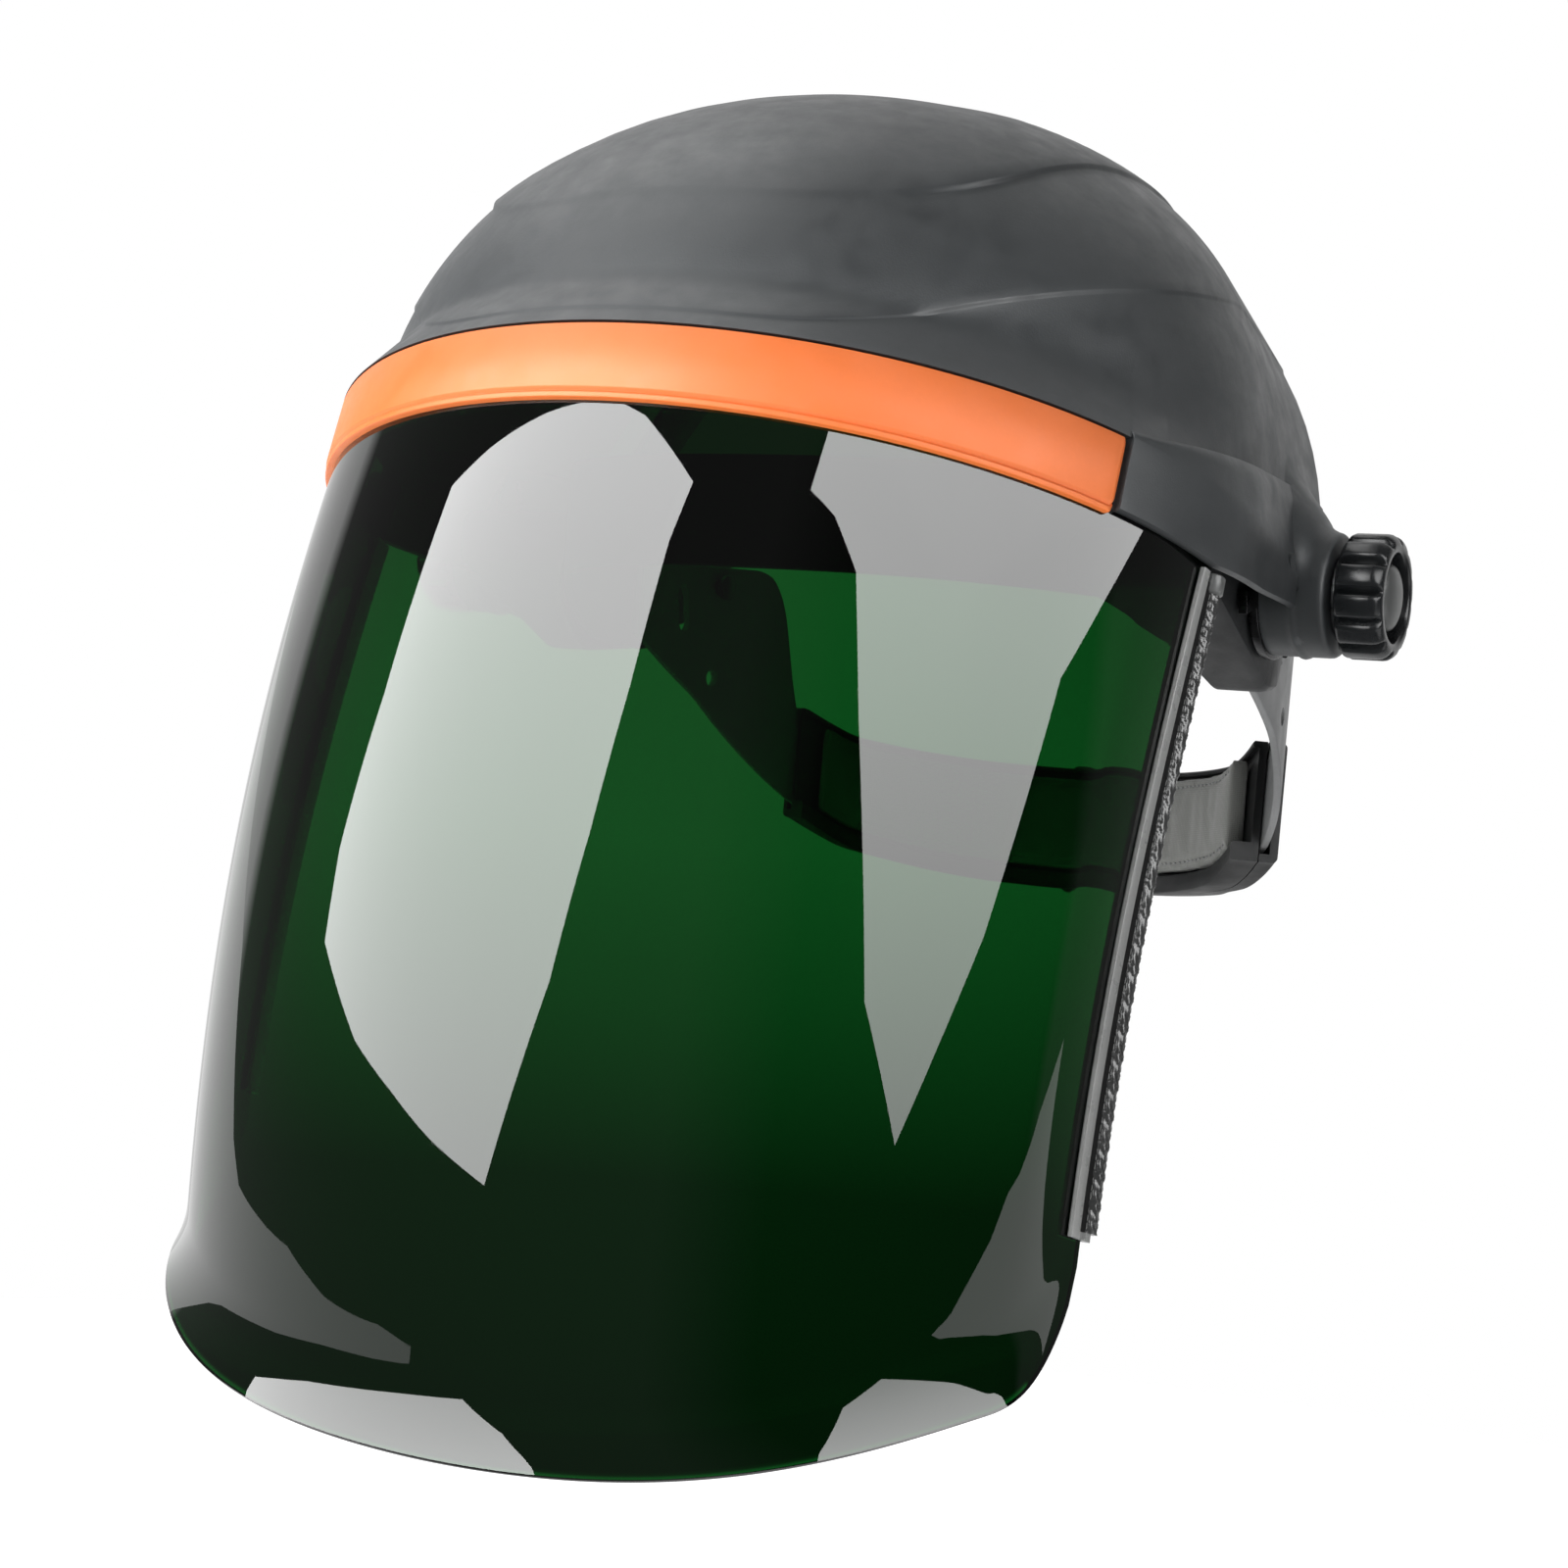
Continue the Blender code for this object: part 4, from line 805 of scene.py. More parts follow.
def trim_strip():
    """The strip's U section, with its lips rounded and a channel beside the bead."""
    half, wall, reach = TRIM_HALF, TRIM_FACE, GAP + TRIM_WALL
    arc = spread(0, pi / 2, 4)
    profile = [(-TRIM_GRIP, half), (GAP, half), (GAP, -half), (-TRIM_GRIP, -half),
               (-TRIM_GRIP - 0.15, -half - 0.3), (-TRIM_GRIP, -wall + 0.2), (-TRIM_GRIP + 0.4, -wall)]
    profile += [(reach - 0.6 + 0.6 * sin(a), -wall + 0.6 - 0.6 * cos(a)) for a in arc]
    profile += [(reach - 0.6 + 0.6 * cos(a), wall - 0.6 + 0.6 * sin(a)) for a in arc]
    profile += [(-0.5, wall), (-0.7, wall - 0.7), (-2.0, wall - 0.7), (-2.2, wall - 0.1), (-2.4, wall)]
    profile += [(-TRIM_GRIP + 0.4, wall), (-TRIM_GRIP, wall - 0.2), (-TRIM_GRIP - 0.15, half + 0.3)]
    return profile


def trim_bead(stations):
    """A round bead with crossed helical ridges."""
    loops = []
    travelled = 0.0
    last = stations[0][0]
    for place, out, past in stations:
        travelled += (place - last).length
        last = place
        loop = []
        turn = 2 * pi * travelled / TRIM_TWIST
        for a in round_angles(30):
            ridge = TRIM_RIDGE_HEIGHT * cos(TRIM_RIDGES * a + turn) * cos(turn / 2 - a)
            r = TRIM_BEAD + ridge
            loop.append(place + past * (0.9 + r * cos(a)) + out * (TRIM_FACE - 0.4 + r * sin(a)))
        loops.append(loop)
    return loops


def trim_tab(station):
    """The small cap over the bead's upper end."""
    place, out, past = station
    loops = []
    for down, scale in ((-0.2, 0.7), (0.3, 1.0), (3.6, 1.0), (4.1, 0.75)):
        loop = []
        for a in round_angles(24):
            aside = past * (0.5 + 2.2 * scale * cos(a))
            aside += out * (TRIM_FACE - 0.3 + 2.0 * scale * sin(a))
            loop.append(place + aside - Vector((0, 0, down)))
        loops.append(loop)
    return loops


def edge_trims():
    """U-shaped strips on the visor's side edges, each with a knurled bead along its outer corner."""
    # The black sheet drawn here is painted shade: it lies in the groove beside the bead to darken it as
    # shade would.
    low, high = TRIM_FACE - 0.9, TRIM_FACE - 0.12
    channel = ((-2.12, low), (-0.55, low), (-0.55, high), (-2.12, high))
    for name, side in SIDES.items():
        stations = trim_stations(side)
        sparse = stations[::4] + [stations[-1]]
        place_mesh(f"edge_strip_{name}", swept(bmesh.new(), along_trim(sparse, trim_strip())), "trim_pale",
                   "shield", (f"visor_edge_trim_{name}",), True)
        place_mesh(f"edge_groove_shade_{name}", swept(bmesh.new(), along_trim(sparse[1:-1], channel)),
                   "groove_shade_black", "shield", (), True)
        place_mesh(f"edge_bead_{name}", swept(bmesh.new(), trim_bead(stations[3:-3])), "bead_grey", "shield",
                   (), True, 60)
        place_mesh(f"edge_tab_{name}", swept(bmesh.new(), trim_tab(stations[0])), "trim_grey", "shield", (),
                   True, 50)


# ---------------------------------------------------------------- knobs

def fluted(angle, lobes, groove, width):
    """The depth of a grip's grooves at this angle, one groove between each pair of lobes."""
    phase = (angle * lobes / (2 * pi)) % 1.0
    off = min(phase, 1 - phase)
    return groove * exp(-(off / width) ** 2)


def knob_loops(profile, lobes, width, points, to_point):
    """Sections of a lobed knob; profile is (radius, groove depth, place) for each."""
    loops = []
    for radius, groove, place in profile:
        loop = []
        for a in round_angles(points):
            r = radius - fluted(a, lobes, groove, width)
            loop.append(to_point(r * cos(a), r * sin(a), place))
        loops.append(loop)
    return loops


def clamp_knobs():
    low, high, radius = KNOB_INNER_X, KNOB_OUTER_X, KNOB_RADIUS
    for name, side in SIDES.items():
        body = f"knob_{name}"
        profile = [(4.8, 0, low), (radius - 1.6, 0.5, low), (radius - 0.9, 1.2, low + 0.2),
                   (radius - 0.3, 1.7, low + 0.7), (radius, 1.9, low + 1.4), (radius, 1.9, high - 2.6),
                   (radius - 0.15, 1.8, high - 1.7), (radius - 0.6, 1.5, high - 0.9),
                   (radius - 1.2, 1.0, high - 0.35), (radius - 1.9, 0.4, high - 0.05),
                   (radius - 2.6, 0, high), (10.5, 0, high), (10.1, 0, high - 0.2),
                   (9.9, 0, high - 0.7), (9.6, 0, high - 3.2),
                   (4.8, 0, high - 3.2)]
        loops = knob_loops(profile, KNOB_LOBES, 0.13, KNOB_LOBES * 16, lambda u, v, x: (side * x, u, v))
        place_mesh(f"clamp_grip_{name}", swept(bmesh.new(), loops), "knob_black", body,
                   (f"clamp_knob_{name}",), False, 45)
        base = high - 3.2 + GAP
        dome = [(7.2, base), (7.35, base + 0.3), (7.35, base + 1.1)]
        dome += [(7.3 * cos(a), base + 1.1 + 2.2 * sin(a)) for a in spread(0.08, pi / 2 - 0.12, 12)]
        place_mesh(f"knob_dome_{name}", turned(bmesh.new(), dome, side, segments=64), "trim_grey", body,
                   (f"knob_cap_{name}",), False, 60)


def ratchet_knob():
    base = RING_CENTRE_Y + RING_HALF_LENGTH + HOUSING_BULGE + GAP
    radius = RATCHET_KNOB_RADIUS
    profile = [(4.0, 0, base), (radius * 0.90, 0.3, base), (radius * 0.94, 0.9, base + 0.3),
               (radius * 0.98, 1.8, base + 1.0), (radius, 2.2, base + 2.0),
               (radius * 0.985, 2.2, base + 9.6), (radius * 0.95, 1.8, base + 11.4),
               (radius * 0.90, 1.0, base + 12.5),
               (radius * 0.84, 0.3, base + 13.0), (13.6, 0, base + 13.0), (13.0, 0, base + 12.7),
               (12.6, 0, base + 12.0), (11.2, 0, base + 10.8), (10.4, 0, base + 10.5),
               (3.0, 0, base + 10.9)]
    loops = knob_loops(profile, RATCHET_KNOB_LOBES, 0.15, RATCHET_KNOB_LOBES * 18,
                       lambda u, v, y: (u, y, RATCHET_Z + v))
    knob = place_mesh("size_knob", swept(bmesh.new(), loops), "knob_black", None, (), False, 45)
    stem_start = RING_CENTRE_Y + RING_HALF_LENGTH + 1.7
    stem = turned(bmesh.new(), ((4.2, stem_start), (4.2, base + 2)), 1, (0, RATCHET_Z), 40, "Y")
    cut(knob, ("UNION", tool(stem)))
    dress(knob, "knob_black", "ratchet", ("ratchet_knob",), 45)


# ---------------------------------------------------------------- head ring

def ring_point(turn, depth):
    """A point of the head ring in plan. turn is 0 at the front and +-180 at the nape, + on the left."""
    t = radians(turn)
    s, c = sin(t), -cos(t)
    power = 2 / RING_POWER
    x = (RING_HALF_WIDTH - depth) * abs(s) ** power * (1 if s >= 0 else -1)
    y = (RING_HALF_LENGTH - depth) * abs(c) ** power * (1 if c >= 0 else -1)
    return x, RING_CENTRE_Y + y


def ring_turn(y):
    c = (y - RING_CENTRE_Y) / RING_HALF_LENGTH
    s = abs(c) ** (RING_POWER / 2) * (1 if c >= 0 else -1)
    return degrees(acos(-s))


def even_turns(first, last, count):
    """Turns of the ring at even steps along its own length."""
    fine = spread(first, last, 600)
    lengths = [0.0]
    for a, b in zip(fine, fine[1:]):
        (ax, ay), (bx, by) = ring_point(a, 0), ring_point(b, 0)
        lengths.append(lengths[-1] + hypot(bx - ax, by - ay))
    return [float(t) for t in np.interp(spread(0, lengths[-1], count), lengths, fine)]


def strip_profile(outer, inner, radius):
    """A rounded rectangle as (depth, height share, height shift)."""
    mid_steps = [0.2, 0.4, 0.6, 0.8]
    arc = spread(0, pi / 2, 4)
    points = [(outer + radius * (1 - sin(a)), 1, -radius * (1 - cos(a))) for a in arc]
    points += [(outer, 1 - s, 0.0) for s in mid_steps]
    points += [(outer + radius * (1 - cos(a)), 0, radius * (1 - sin(a))) for a in arc]
    points += [(inner - radius * (1 - sin(a)), 0, radius * (1 - cos(a))) for a in arc]
    points += [(inner, s, 0.0) for s in mid_steps]
    points += [(inner - radius * (1 - cos(a)), 1, -radius * (1 - sin(a))) for a in arc]
    return points


def strip_loops(turns, profile, low, high, side=1, corner=2.0):
    """Sections of a strip that follows the ring, with the tips of its outline rounded."""
    loops = []
    for turn in turns:
        _, y0 = ring_point(turn, 0)
        bottom, top = smoothly(low, y0, corner), smoothly(high, y0, corner)
        loop = []
        for depth, share, shift in profile:
            px, py = ring_point(turn, depth)
            loop.append((side * px, py, bottom + (top - bottom) * share + shift))
        loops.append(loop)
    return loops


def long_hole(side, y, z, half_width, half_height, lean, segments=10):
    loops = []
    for x in (70.0, 100.0):
        loop = []
        for end in (1, -1):
            for i in range(segments + 1):
                a = pi * i / segments
                u, v = half_width * cos(a) * end, (half_height - half_width + half_width * sin(a)) * end
                loop.append((side * x, y + u * cos(lean) - v * sin(lean), z + u * sin(lean) + v * cos(lean)))
        loops.append(loop)
    return swept(bmesh.new(), loops)


def round_hole(side, y, z, radius):
    return turned(bmesh.new(), ((radius, 70), (radius, 100)), side, (y, z), 28)


def hole_cuts(side, pegs):
    """Cutters for the strap's slot and for round holes at (y, z, radius)."""
    half_width, half_height, lean = SLOT_SIZE
    slot = tool(long_hole(side, SLOT_Y, SLOT_Z, half_width, half_height, lean))
    return [("DIFFERENCE", slot)] + [("DIFFERENCE", tool(round_hole(side, *peg))) for peg in pegs]


def front_headband():
    end = ring_turn(76)
    loops = strip_loops(even_turns(-end, end, 181), strip_profile(0.2, 2.4, 0.6), WING_LOW, WING_HIGH)
    band = place_mesh("headband_front", swept(bmesh.new(), loops), "gear_black", None)
    steps = []
    for side in SIDES.values():
        steps += hole_cuts(side, ((ARM_PEG_Y, ARM_PEG_Z, ARM_HOLE_RADIUS),
                                  (STRAP_Y, STRAP_STUD_Z, STUD_SEAT_RADIUS),
                                  (-14, 8, STUD_SEAT_RADIUS), (12, 8, STUD_SEAT_RADIUS)))
    cut(band, *steps)
    dress(band, "gear_black", "headgear", ("front_headband",))


def side_arms():
    """The straps from the temples to the nape, which bend where they feed into the nape cover."""
    for name, side in SIDES.items():
        turns = even_turns(ring_turn(29), ring_turn(124), 81)
        loops = strip_loops(turns, strip_profile(2.7, 4.7, 0.6), ARM_LOW, ARM_HIGH, side, 3.0)
        arm = place_mesh(f"arm_strap_{name}", swept(bmesh.new(), loops), "strap_grey", None)
        cut(arm, *hole_cuts(side, ((ARM_PEG_Y, ARM_PEG_Z, ARM_HOLE_RADIUS),
                                   (ARM_PEG_Y, ARM_HOLE_Z, ARM_HOLE_RADIUS))))
        dress(arm, "strap_grey", None, (f"side_arm_{name}",))
        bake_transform(arm)


def bulge(x):
    return HOUSING_BULGE * ease((HOUSING_HALF_WIDTH + 8 - abs(x)) / 10)


def nape_loops(profile, count, start_y=NAPE_START_Y):
    """Sections of a nape piece; profile is (depth, height share, shift, follows the bulge)."""
    start = ring_turn(start_y)
    loops = []
    for turn in even_turns(start, 360 - start, count):
        x0, y0 = ring_point(turn, 0)
        low, high = smoothly(NAPE_LOW, y0, 2.0), smoothly(NAPE_HIGH, y0, 2.0)
        loop = []
        for depth, share, shift, bulges in profile:
            swell = bulge(x0) if bulges else 0.0
            x, y = ring_point(turn, depth)
            loop.append((x, y + swell, low + (high - low) * share + shift))
        loops.append(loop)
    return loops


def nape_pieces():
    wall, flange = 2.2, 4.9
    arc = spread(0, pi / 2, 5)
    cover = [(1.4 * (1 - sin(a)), 1, -1.4 * (1 - cos(a)), 1) for a in arc]
    cover += [(0, share, 0, 1) for share in (0.85, 0.6, 0.4, 0.15)]
    cover += [(1.4 * (1 - cos(a)), 0, 1.4 * (1 - sin(a)), 1) for a in arc]
    cover += [(flange, 0, 0, 0), (flange, 0, wall, 0), (wall, 0, wall, 1), (wall, 1, -wall, 1),
              (flange, 1, -wall, 0), (flange, 1, 0, 0)]
    # The nape housing and frame wear a darker copy of gear_black, as painted shade against the side light on
    # them.
    shell = place_mesh("nape_housing", swept(bmesh.new(), nape_loops(cover, 141)), "gear_black_shaded", None)
    bore = turned(bmesh.new(), ((4.6, 120), (4.6, 160)), 1, (0, RATCHET_Z), 40, "Y")
    cut(shell, ("DIFFERENCE", tool(bore)))
    dress(shell, "gear_black_shaded", "nape", ("nape_cover",))

    lip, tray, rim = 12.6, 7.3, 5.0
    frame_profile = [(5.2, 1, 0, 0), (5.2, 0.66, 0, 0), (5.2, 0.33, 0, 0), (5.2, 0, 0, 0),
                     (lip - 0.8, 0, 0, 0), (lip - 0.2, 0, 0.25, 0), (lip, 0, 0.8, 0),
                     (lip, 0, rim - 0.8, 0),
                     (lip - 0.2, 0, rim - 0.25, 0), (lip - 0.8, 0, rim, 0), (tray, 0, rim, 0),
                     (tray, 1, -1.6, 0), (8.6, 1, -1.6, 0), (9.0, 1, -1.2, 0), (9.0, 1, -0.4, 0),
                     (8.6, 1, 0, 0)]
    place_mesh("nape_frame", swept(bmesh.new(), nape_loops(frame_profile, 101)), "gear_black_shaded", "nape",
               ("nape_tray",))


def strap_sections(first, last, overlap_from, lift, count):
    """Rounded sections of a strap over the head, between two angles up from the left side."""
    loops = []
    radius = 0.5
    arc = spread(0, pi / 2, 4)
    half = STRAP_WIDTH / 2
    for angle in spread(first, last, count):
        a = radians(angle)
        nx, nz = cos(a) / STRAP_HALF_SPAN, sin(a) / STRAP_TOP_Z
        size = hypot(nx, nz)
        nx, nz = nx / size, nz / size
        raised = lift * ease((overlap_from - angle) / 12)
        from_end = min(angle - first, last - angle) * radians(1) * STRAP_HALF_SPAN
        inset = 0.0
        if from_end < STRAP_CORNER:
            inset = STRAP_CORNER - sqrt(max(STRAP_CORNER ** 2 - (STRAP_CORNER - from_end) ** 2, 0.0))
        wide = half - inset
        section = [(radius * (1 - cos(b)), -wide + radius * (1 - sin(b))) for b in arc]
        section += [(STRAP_WALL - radius * (1 - sin(b)), -wide + radius * (1 - cos(b))) for b in arc]
        section += [(STRAP_WALL - radius * (1 - cos(b)), wide - radius * (1 - sin(b))) for b in arc]
        section += [(radius * (1 - sin(b)), wide - radius * (1 - cos(b))) for b in arc]
        middle_y = STRAP_Y + STRAP_SWEEP * ease(sin(a))
        loop = []
        for out, across in section:
            reach = out + raised
            loop.append((STRAP_HALF_SPAN * cos(a) + nx * reach, middle_y + across,
                         STRAP_TOP_Z * sin(a) + nz * reach))
        loops.append(loop)
    return loops


def top_straps():
    crest_y = STRAP_Y + STRAP_SWEEP
    runs = {"left": (9, 112, 180, 0.0), "right": (68, 171, 128, 2.1)}
    for name, side in SIDES.items():
        loops = strap_sections(*runs[name], 97)
        strap = place_mesh(f"crown_strap_{name}", swept(bmesh.new(), loops), "gear_black", None)
        bm = bmesh.new()
        for x in spread(-20, 20, 5):
            rings = []
            for z in (60, 100):
                rings.append([(x + STRAP_HOLE_RADIUS * cos(a), crest_y + STRAP_HOLE_RADIUS * sin(a), z)
                              for a in round_angles(28)])
            swept(bm, rings)
        profile = ((1.6, 82.0), (1.6, 89.9), (1.4, 90.2))
        stud = turned(bmesh.new(), profile, side, (STRAP_Y, STRAP_STUD_Z), 24)
        cut(strap, ("DIFFERENCE", tool(bm)), ("UNION", tool(stud)))
        dress(strap, "gear_black", "headgear", (f"top_strap_{name}",))


# ---------------------------------------------------------------- pads

PUFF_FRAMES = 20


def shrunk_copy(node_name, name, shrink):
    """The frame's solid drawn in by shrink, to leave room for its sleeve."""
    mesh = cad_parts[node_name].data.copy()
    obj = linked(name, mesh)
    bm = bmesh.new()
    bm.from_mesh(mesh)
    bmesh.ops.remove_doubles(bm, verts=bm.verts, dist=1e-6)
    bm.normal_update()
    for vert in bm.verts:
        vert.co -= vert.normal * shrink * MM
    bm.to_mesh(mesh)
    bm.free()
    return obj


def puff(obj, pressure, cap):
    """Blows the sleeve up as cloth, by no more than cap anywhere."""
    before = [v.co.copy() for v in obj.data.vertices]
    cloth = obj.modifiers.new("cloth", "CLOTH")
    cloth.settings.use_pressure = True
    cloth.settings.uniform_pressure_force = pressure
    cloth.settings.mass = 0.2
    cloth.settings.quality = 6
    cloth.settings.effector_weights.gravity = 0.0
    cloth.point_cache.frame_start = 1
    cloth.point_cache.frame_end = PUFF_FRAMES
    scene = bpy.context.scene
    for step in range(1, PUFF_FRAMES + 1):
        scene.frame_set(step)
    apply_modifiers(obj)
    scene.frame_set(1)
    for vert, rest in zip(obj.data.vertices, before):
        move = vert.co - rest
        if move.length > cap * MM:
            vert.co = rest + move.normalized() * cap * MM


def cloth_pad(node_name, name, body):
    """A foam pad in a knitted sleeve, puffed up by cloth simulation from its plain solid."""
    obj = shrunk_copy(node_name, name, 0.5)
    remesh = obj.modifiers.new("remesh", "REMESH")
    remesh.mode = "VOXEL"
    remesh.voxel_size = 1.5 * MM
    smooth = obj.modifiers.new("smooth", "SMOOTH")
    smooth.iterations = 4
    smooth.factor = 0.5
    apply_modifiers(obj)
    puff(obj, 4.0, 1.0)
    fine = obj.modifiers.new("fine", "SUBSURF")
    fine.levels = 1
    fine.render_levels = 1
    apply_modifiers(obj)
    dress(obj, "pad_grey", body, (node_name,), 80)
    return obj


def seam_lines(pad, turns, depth, low, high, insets):
    """Points on the pad's inner face beside both of its long edges, with the face's directions."""
    mesh = pad.data
    skin = BVHTree.FromPolygons([v.co for v in mesh.vertices], [p.vertices for p in mesh.polygons])
    lines = []
    for outline, inset in zip((low, high), insets):
        line = []
        for turn in turns:
            x, y = ring_point(turn, depth)
            z = along(outline, ring_point(turn, 0)[1]) + inset
            place, normal, _, _ = skin.find_nearest(Vector((x, y, z)) * MM)
            line.append((place / MM, normal))
        lines.append(line)
    return lines


def sewn(pad, name, body, lines):
    """Draws the pad in along the seams and lays a row of thread stitches in each."""
    reach = 0.9
    seam = [place for line in lines for place, _ in line]
    tree = KDTree(len(seam))
    for index, place in enumerate(seam):
        tree.insert(place, index)
    tree.balance()
    for vert in pad.data.vertices:
        _, _, away = tree.find(vert.co / MM)
        if away < 3 * reach:
            vert.co -= vert.normal * SEAM_DEPTH * exp(-(away / reach) ** 2) * MM
    bm = bmesh.new()
    for line in lines:
        for (start, normal), (end, _) in zip(line[::2], line[1::2]):
            run = (end - start).normalized()
            side = run.cross(normal).normalized()
            rings = []
            for share, size in ((0, 0.1), (0.15, 0.24), (0.5, 0.3), (0.85, 0.24), (1, 0.1)):
                centre = start.lerp(end, share) - normal * (SEAM_DEPTH - 0.2 * sin(pi * share))
                rings.append([centre + side * size * cos(a) + normal * size * sin(a)
                              for a in round_angles(8)])
            swept(bm, rings)
    place_mesh(name, bm, "strap_grey", body, (), False, 60)


def pads():
    brow = cloth_pad("brow_pad", "brow_cushion", "headgear")
    end = ring_turn(-25)
    turns = even_turns(-end, end, 130)
    lines = seam_lines(brow, turns, 8.2, BROW_PAD_LOW, BROW_PAD_HIGH, (2.6, -2.6))
    sewn(brow, "brow_seams", "headgear", lines)
    nape = cloth_pad("nape_pad", "nape_cushion", "nape")
    start = ring_turn(NAPE_START_Y + 9)
    turns = even_turns(start, 360 - start, 150)
    lines = seam_lines(nape, turns, 13.4, NAPE_LOW, NAPE_HIGH, (7.9, -4.6))
    sewn(nape, "nape_seams", "nape", lines)


# ---------------------------------------------------------------- the rest of the frame

def eased_copy(node_name, name, slot, body, width=0.3, segments=2, sharp=40.0):
    """A frame part with its moulded edges rounded over."""
    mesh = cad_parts[node_name].data.copy()
    bm = bmesh.new()
    bm.from_mesh(mesh)
    bmesh.ops.remove_doubles(bm, verts=bm.verts, dist=2e-6)
    bmesh.ops.dissolve_limit(bm, angle_limit=radians(1.0), verts=bm.verts, edges=bm.edges)
    bm.to_mesh(mesh)
    bm.free()
    obj = linked(name, mesh)
    modifier = obj.modifiers.new("ease", "BEVEL")
    modifier.width = width * MM
    modifier.segments = segments
    modifier.limit_method = "ANGLE"
    modifier.angle_limit = radians(35)
    apply_modifiers(obj)
    return dress(obj, slot, body, (node_name,), sharp)


def small_parts():
    for name in SIDES:
        eased_copy(f"temple_housing_{name}", f"temple_shell_{name}", "gear_black", "headgear", 0.5, 3, 45)
        for part, piece, slot, body, width in (
                ("tilt_stop", "stop_plate", "steel_dark", "headgear", 0.2),
                ("pivot_bolt", "pivot_screw", "steel", "headgear", 0.25),
                ("friction_washer", "friction_ring", "gear_black", "headgear", 0.25),
                ("knob_washer", "spring_ring", "steel", "shield", 0.2),
                ("arm_peg", "arm_rivet", "knob_black", "headgear", 0.3),
                ("size_rack", "toothed_rack", "rack_white", f"rack_{name}", 0.15)):
            eased_copy(f"{part}_{name}", f"{piece}_{name}", slot, body, width)
    for number in range(1, len(STUD_ANGLES) + 1):
        eased_copy(f"visor_stud_{number}", f"snap_rivet_{number}", "gear_black", "shield", 0.25)
    eased_copy("strap_peg", "crown_rivet", "knob_black", "headgear", 0.3)
    eased_copy("ratchet_pinion", "drive_pinion", "rack_white", "ratchet", 0.15)
    eased_copy("click_disc", "detent_disc", "gear_black", "ratchet", 0.2)


# ---------------------------------------------------------------- camera, light and floor

def camera():
    r = radians(VIEW_ROLL)
    back = direction(VIEW_AZIMUTH, VIEW_ELEVATION)
    right = (-back).cross(Vector((0, 0, 1))).normalized()
    up = right.cross(-back)
    across = right * cos(r) + up * sin(r)
    upward = up * cos(r) - right * sin(r)
    data = bpy.data.cameras.new("camera")
    data.lens = VIEW_LENS
    data.sensor_width = 36.0
    data.clip_start = 0.02
    data.clip_end = 60.0
    obj = linked("camera", data)
    place = Vector(VIEW_TARGET) + back * VIEW_DISTANCE
    obj.matrix_world = Matrix((
        (across.x, upward.x, back.x, place.x),
        (across.y, upward.y, back.y, place.y),
        (across.z, upward.z, back.z, place.z),
        (0, 0, 0, 1),
    ))
    bpy.context.scene.camera = obj


AIM = Vector((0.02, -0.11, -0.03))


def direction(azimuth, elevation):
    """A unit vector; azimuth runs from straight ahead of the wearer towards their left."""
    a, e = radians(azimuth), radians(elevation)
    return Vector((sin(a) * cos(e), -cos(a) * cos(e), sin(e)))


def softbox(name, azimuth, elevation, width, height, radiance, in_gloss):
    """A rectangular lamp in a given direction from the shield, facing it."""
    away = direction(azimuth, elevation)
    data = bpy.data.lights.new(name, "AREA")
    data.shape = "RECTANGLE"
    data.size = width
    data.size_y = height
    data.energy = radiance * pi * width * height
    obj = linked(name, data)
    turn = away.to_track_quat("Z", "Y").to_matrix()
    obj.matrix_world = Matrix.Translation(AIM + away * LAMP_DISTANCE) @ turn.to_4x4()
    obj.visible_camera = False
    obj.visible_glossy = in_gloss
    obj.visible_transmission = False


# Lit panels that the glossy pieces mirror, as (azimuth, elevation) outlines seen from the shield
FRONT_PANEL = ((-66, 26), (-59, 30), (-47, 35), (-31, 39), (-21, 39.5), (-4, 37), (-6, 33), (-7, 23),
               (-9, 13), (-12, 3), (-20, -10), (-33, -8), (-43, -6), (-54, -4), (-67, 0), (-68, 5),
               (-66, 14))
SIDE_PANEL = ((27, 41), (47, 38), (66, 34), (87, 28), (113, 20), (103, 19), (92, 17), (79, 4), (64, -7),
              (53, 2), (44, 21), (39, 31), (32, 35), (25, 37))
LOW_FRONT_PANEL = ((-125, 6), (-101, -4), (-95, -10), (-87, -13), (-78, -14), (-67, -15), (-55, -17),
                   (-41, -18), (-33, -19), (-31, -40), (-80, -44), (-125, -40))
LOW_SIDE_PANEL = ((62, -20), (74, -18), (84, -16), (92, -13), (95, -11), (106, -8), (120, -6), (121, -34),
                  (90, -42), (60, -40))


def lit_panel(name, outline, radiance, falloff):
    """A glowing panel that shows only in gloss, dimmer towards its foot."""
    made = bpy.data.materials.new(name)
    made.use_nodes = True
    tree = made.node_tree
    tree.nodes.remove(tree.nodes["Principled BSDF"])
    points = [AIM + direction(a, e) * LAMP_DISTANCE for a, e in outline]
    heights = [point.z for point in points]
    place = node(tree, "ShaderNodeTexCoord")
    split = node(tree, "ShaderNodeSeparateXYZ")
    tree.links.new(place.outputs["Object"], split.inputs["Vector"])
    glow = node(tree, "ShaderNodeEmission")
    fading = remap(tree, split.outputs["Z"], radiance * (1 - falloff), radiance, min(heights), max(heights))
    tree.links.new(fading, glow.inputs["Strength"])
    tree.links.new(glow.outputs["Emission"], tree.nodes["Material Output"].inputs["Surface"])
    mesh = bpy.data.meshes.new(name)
    centre = AIM + (sum(points, Vector()) / len(points) - AIM).normalized() * LAMP_DISTANCE
    count = len(points)
    mesh.from_pydata(points + [centre], [], [(i, (i + 1) % count, count) for i in range(count)])
    mesh.materials.append(made)
    obj = linked(name, mesh)
    obj.visible_camera = False
    obj.visible_diffuse = False
    obj.visible_transmission = False
    obj.visible_shadow = False


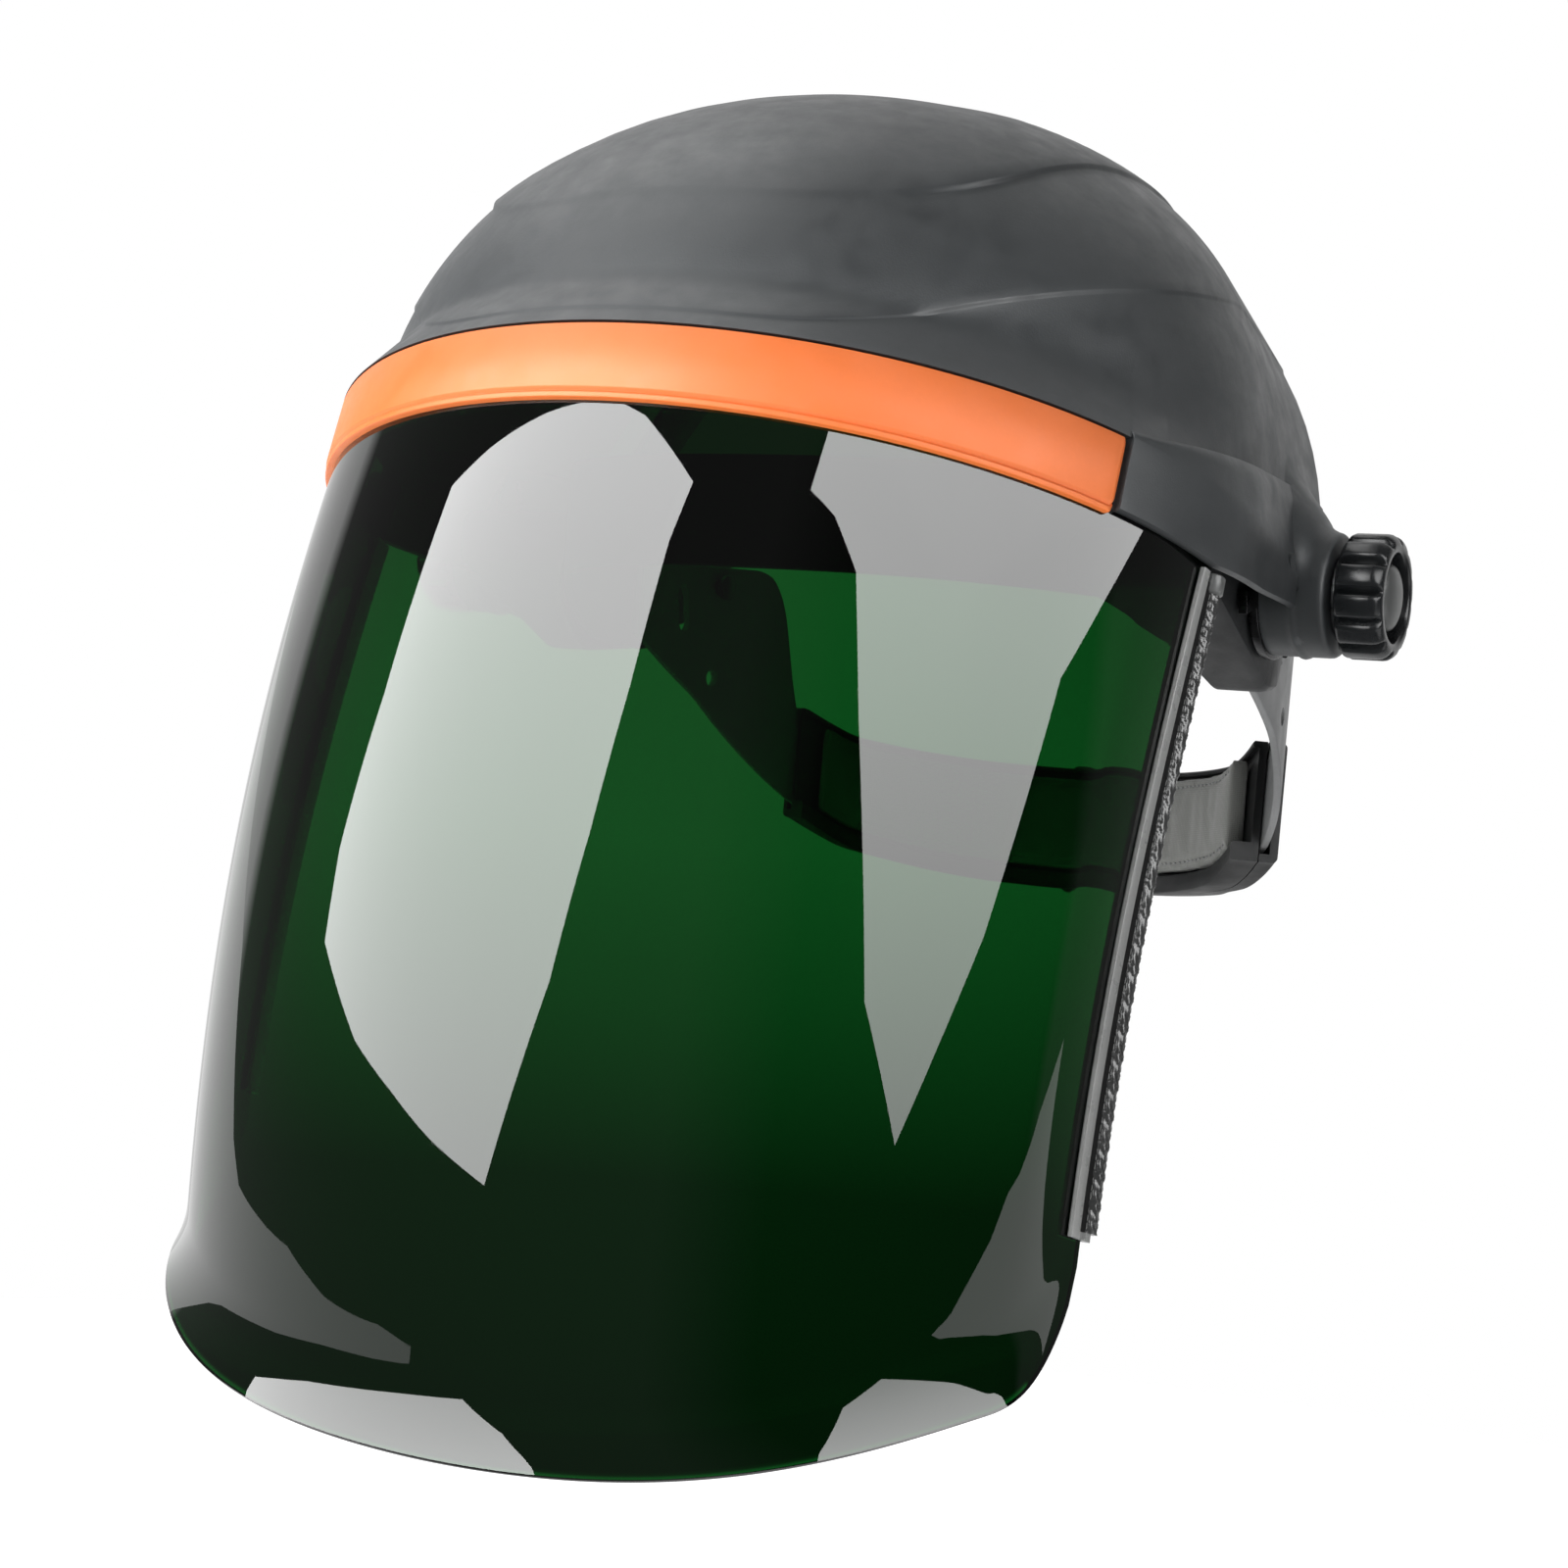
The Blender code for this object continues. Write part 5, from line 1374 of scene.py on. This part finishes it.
def studio():
    softbox("key_box", -38, 17, 1.62, 0.98, 5.6, False)
    softbox("side_box", 50, 10, 1.3, 1.0, 1.6, False)
    softbox("top_left_box", -84, 60, 1.3, 1.1, 2.1, True)
    lit_panel("front_panel", FRONT_PANEL, 12.0, 0.3)
    lit_panel("side_panel", SIDE_PANEL, 9.4, 0.5)
    lit_panel("low_front_panel", LOW_FRONT_PANEL, 1.15, 0.0)
    lit_panel("low_side_panel", LOW_SIDE_PANEL, 1.4, 0.0)


def combined(tree, first, second, operation="MULTIPLY"):
    made = node(tree, "ShaderNodeMath", operation=operation)
    tree.links.new(first, made.inputs[0])
    tree.links.new(second, made.inputs[1])
    return made.outputs["Value"]


def surroundings():
    """A white room behind the object and a dim one in front, as the shield's gloss shows it.

    What shows through the visor is a pool of light on a dark wall.
    """
    world = bpy.data.worlds.new("studio")
    bpy.context.scene.world = world
    world.use_nodes = True
    tree = world.node_tree
    background = tree.nodes["Background"]
    place = node(tree, "ShaderNodeTexCoord")
    split = node(tree, "ShaderNodeSeparateXYZ")
    tree.links.new(place.outputs["Generated"], split.inputs["Vector"])
    wall = remap(tree, split.outputs["Y"], 0.12, 0.85, 0.17, 0.26)
    wall = combined(tree, wall, remap(tree, split.outputs["X"], 1.0, 0.15, 0.25, 0.6))
    ceiling = remap(tree, split.outputs["Z"], 0.0, 0.22, 0.60, 0.95)
    lit = combined(tree, wall, ceiling, "MAXIMUM")
    aim = node(tree, "ShaderNodeVectorMath", operation="DOT_PRODUCT")
    tree.links.new(place.outputs["Generated"], aim.inputs[0])
    aim.inputs[1].default_value = direction(180 + 31, 0)
    pool = remap(tree, aim.outputs["Value"], 0.35, 1.0, 0.957, 0.996)
    pool = combined(tree, pool, remap(tree, split.outputs["Z"], 0.2, 1.0, -0.155, -0.02))
    pool = combined(tree, pool, remap(tree, split.outputs["Z"], 1.0, 0.12, 0.093, 0.122))
    rays = node(tree, "ShaderNodeLightPath")
    through = rays.outputs["Is Transmission Ray"]
    other = combined(tree, lit, rays.outputs["Is Camera Ray"], "MAXIMUM")
    blend = node(tree, "ShaderNodeMix", data_type="FLOAT")
    tree.links.new(through, blend.inputs["Factor"])
    tree.links.new(other, blend.inputs["A"])
    tree.links.new(pool, blend.inputs["B"])
    tree.links.new(blend.outputs["Result"], background.inputs["Color"])
    background.inputs["Strength"].default_value = 1.0
    bpy.context.scene.view_settings.view_transform = "Standard"


def floor():
    made, tree, shader = nodes_of("floor_white")
    tint = mixed(tree, noise(tree, 3.0), (0.86, 0.86, 0.86), (0.9, 0.9, 0.9))
    tree.links.new(tint, shader.inputs["Base Color"])
    shader.inputs["Roughness"].default_value = 0.9
    shader.inputs["Specular IOR Level"].default_value = 0.1
    shader.inputs["Emission Color"].default_value = (1, 1, 1, 1)
    shader.inputs["Emission Strength"].default_value = 0.85
    bm = bmesh.new()
    bmesh.ops.create_circle(bm, cap_ends=True, segments=96, radius=2.6)
    mesh = bpy.data.meshes.new("floor")
    bm.to_mesh(mesh)
    bm.free()
    mesh.materials.append(made)
    obj = linked("floor", mesh)
    obj.location = (0, 0, FLOOR_Z)
    obj.visible_glossy = False
    obj.visible_transmission = False


# ---------------------------------------------------------------- main

def main():
    camera()
    studio()
    surroundings()
    floor()
    crown_shell()
    brow_band()
    visor()
    edge_trims()
    clamp_knobs()
    ratchet_knob()
    front_headband()
    side_arms()
    nape_pieces()
    top_straps()
    pads()
    small_parts()


main()
